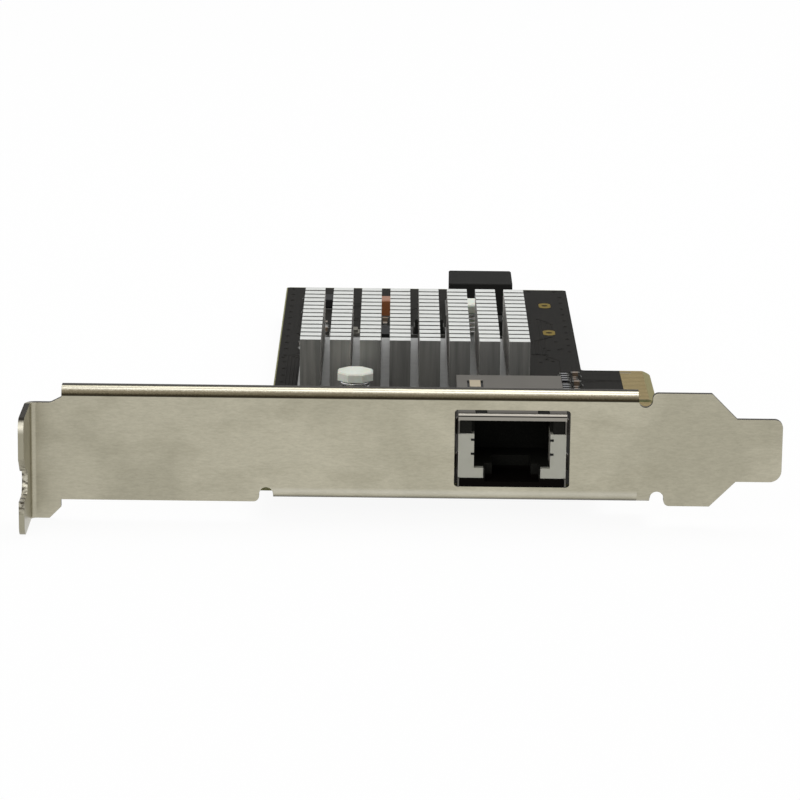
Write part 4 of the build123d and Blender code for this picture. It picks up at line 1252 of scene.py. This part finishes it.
marks = list(componentMarks())
marks.append(outline(sinkLow + printLook["sinkInset"], sinkHigh - printLook["sinkInset"]))
marks += list(sideMarks("chip_resistors", "chip_resistor_ends"))
marks += list(sideMarks("ceramic_capacitors", "ceramic_capacitor_ends"))
dots = [
    (low[0] + printLook["dotShift"][0], low[1] + printLook["dotShift"][1], boardTop)
    for name in printLook["dotted"] for low, high in bodiesOf(name) if high[2] > 0
]
marks.append(copies(ring(*printLook["dot"], -printLook["sunk"], printLook["high"], 14), dots))
pinsLow, pinsHigh = boxOf("jack_pins")
marks.append(outline(pinsLow - printLook["aroundPins"], pinsHigh + printLook["aroundPins"], False))
addPiece("boardPrint", marks, "ink", 30)
print("pads and print added,", len(marks), "marks")


# The studio: pale floor, white surroundings, soft lamps
studio = {
    "ambient": 0.5,
    "floorSize": 6.0,
    "floorDrop": 0.0002,    # the floor lies this much below the card
    "floorTones": (0.93, 0.97),
    "shadowShare": 0.07,    # how much of the card's shadow shows
    "lamps": {
        "overhead": {"place": (0.1, 0.25, 0.9), "aim": (-0.04, 0.0, 0.0), "size": 0.7, "watts": 4.5},
        "frontFill": {"place": (-0.5, -0.8, 0.5), "aim": (-0.04, 0.0, 0.0), "size": 0.5, "watts": 2.0},
    },
}


def seenDirectly(tree):
    # 1 for camera, mirror and see-through rays, which all show the white surroundings
    path = tree.nodes.new("ShaderNodeLightPath")
    total = work(tree, "MAXIMUM", path.outputs["Is Camera Ray"], path.outputs["Is Glossy Ray"])
    return work(tree, "MAXIMUM", total, path.outputs["Is Transmission Ray"])


def makeWorld():
    # white where it is seen, and a weaker light on everything else
    world = bpy.data.worlds.new("studioWorld")
    bpy.context.scene.world = world
    world.use_nodes = True
    tree = world.node_tree
    background = tree.nodes["Background"]
    background.inputs["Color"].default_value = (1, 1, 1, 1)
    strength = tree.nodes.new("ShaderNodeMapRange")
    strength.inputs["To Min"].default_value = studio["ambient"]
    strength.inputs["To Max"].default_value = 1.0
    join(tree, seenDirectly(tree), strength.inputs["Value"])
    join(tree, strength.outputs[0], background.inputs["Strength"])


def makeFloor():
    # a flat square that glows white where it is seen, less the share kept for the card's shadow
    half = studio["floorSize"] / 2
    height = cadLow[2] - studio["floorDrop"]
    corners = [(-half, -half, height), (half, -half, height), (half, half, height), (-half, half, height)]
    mesh = bpy.data.meshes.new("studioFloor")
    mesh.from_pydata(corners, [], [(0, 1, 2, 3)])
    dim, bright = ((tone,) * 3 for tone in studio["floorTones"])
    material, tree, shader = startMaterial("paleFloor", dim, 0.9)
    join(tree, mix(tree, noise(tree, 0.01, 2.0), dim, bright), shader.inputs["Base Color"])
    glow = tree.nodes.new("ShaderNodeEmission")
    blend = tree.nodes.new("ShaderNodeMixShader")
    join(tree, times(tree, seenDirectly(tree), 1 - studio["shadowShare"]), blend.inputs[0])
    join(tree, shader.outputs[0], blend.inputs[1])
    join(tree, glow.outputs[0], blend.inputs[2])
    output = [node for node in tree.nodes if node.type == "OUTPUT_MATERIAL"][0]
    join(tree, blend.outputs[0], output.inputs["Surface"])
    mesh.materials.append(material)
    floor = bpy.data.objects.new("studioFloor", mesh)
    bpy.context.scene.collection.objects.link(floor)


def makeLamps():
    # square soft lamps: each one's back points away from what it aims at
    for name, lamp in studio["lamps"].items():
        light = bpy.data.lights.new(name, "AREA")
        light.shape = "SQUARE"
        light.size = lamp["size"]
        light.energy = lamp["watts"]
        holder = bpy.data.objects.new(name, light)
        place, aim = np.array(lamp["place"]), np.array(lamp["aim"])
        back = (place - aim) / np.linalg.norm(place - aim)
        right = np.cross((0, 0, 1), back)
        right /= np.linalg.norm(right)
        turn = Matrix([[*row] for row in np.stack([right, np.cross(back, right), back], 1)])
        holder.matrix_world = Matrix.Translation(place.tolist()) @ turn.to_4x4()
        bpy.context.scene.collection.objects.link(holder)


# The photograph's viewpoint, in millimetres and degrees
viewpoint = {
    "place": (-46.14, -636.42, 159.965),
    "yaw": 0.13,
    "pitch": 14.07,
    "roll": -0.69,
    "lens": 170.06,
    "film": 36.0,
}


def makeCamera():
    # ahead turns by the yaw and dips by the pitch; right and up then turn about it by the roll
    yaw, pitch, roll = (math.radians(viewpoint[key]) for key in ("yaw", "pitch", "roll"))
    ahead = np.array([math.sin(yaw) * math.cos(pitch), math.cos(yaw) * math.cos(pitch), -math.sin(pitch)])
    right = np.array([math.cos(yaw), -math.sin(yaw), 0.0])
    up = np.cross(right, ahead)
    tiltRight = math.cos(roll) * right - math.sin(roll) * up
    tiltUp = math.sin(roll) * right + math.cos(roll) * up
    data = bpy.data.cameras.new("photoCamera")
    data.sensor_width = viewpoint["film"]
    data.lens = viewpoint["lens"]
    data.clip_start, data.clip_end = 0.01, 20.0
    holder = bpy.data.objects.new("photoCamera", data)
    turn = Matrix([[*row] for row in np.stack([tiltRight, tiltUp, -ahead], 1)])
    holder.matrix_world = Matrix.Translation([value * mm for value in viewpoint["place"]]) @ turn.to_4x4()
    bpy.context.scene.collection.objects.link(holder)
    bpy.context.scene.camera = holder


makeWorld()
makeFloor()
makeLamps()
makeCamera()
bpy.context.scene.view_settings.view_transform = "Standard"
print("studio and camera ready")
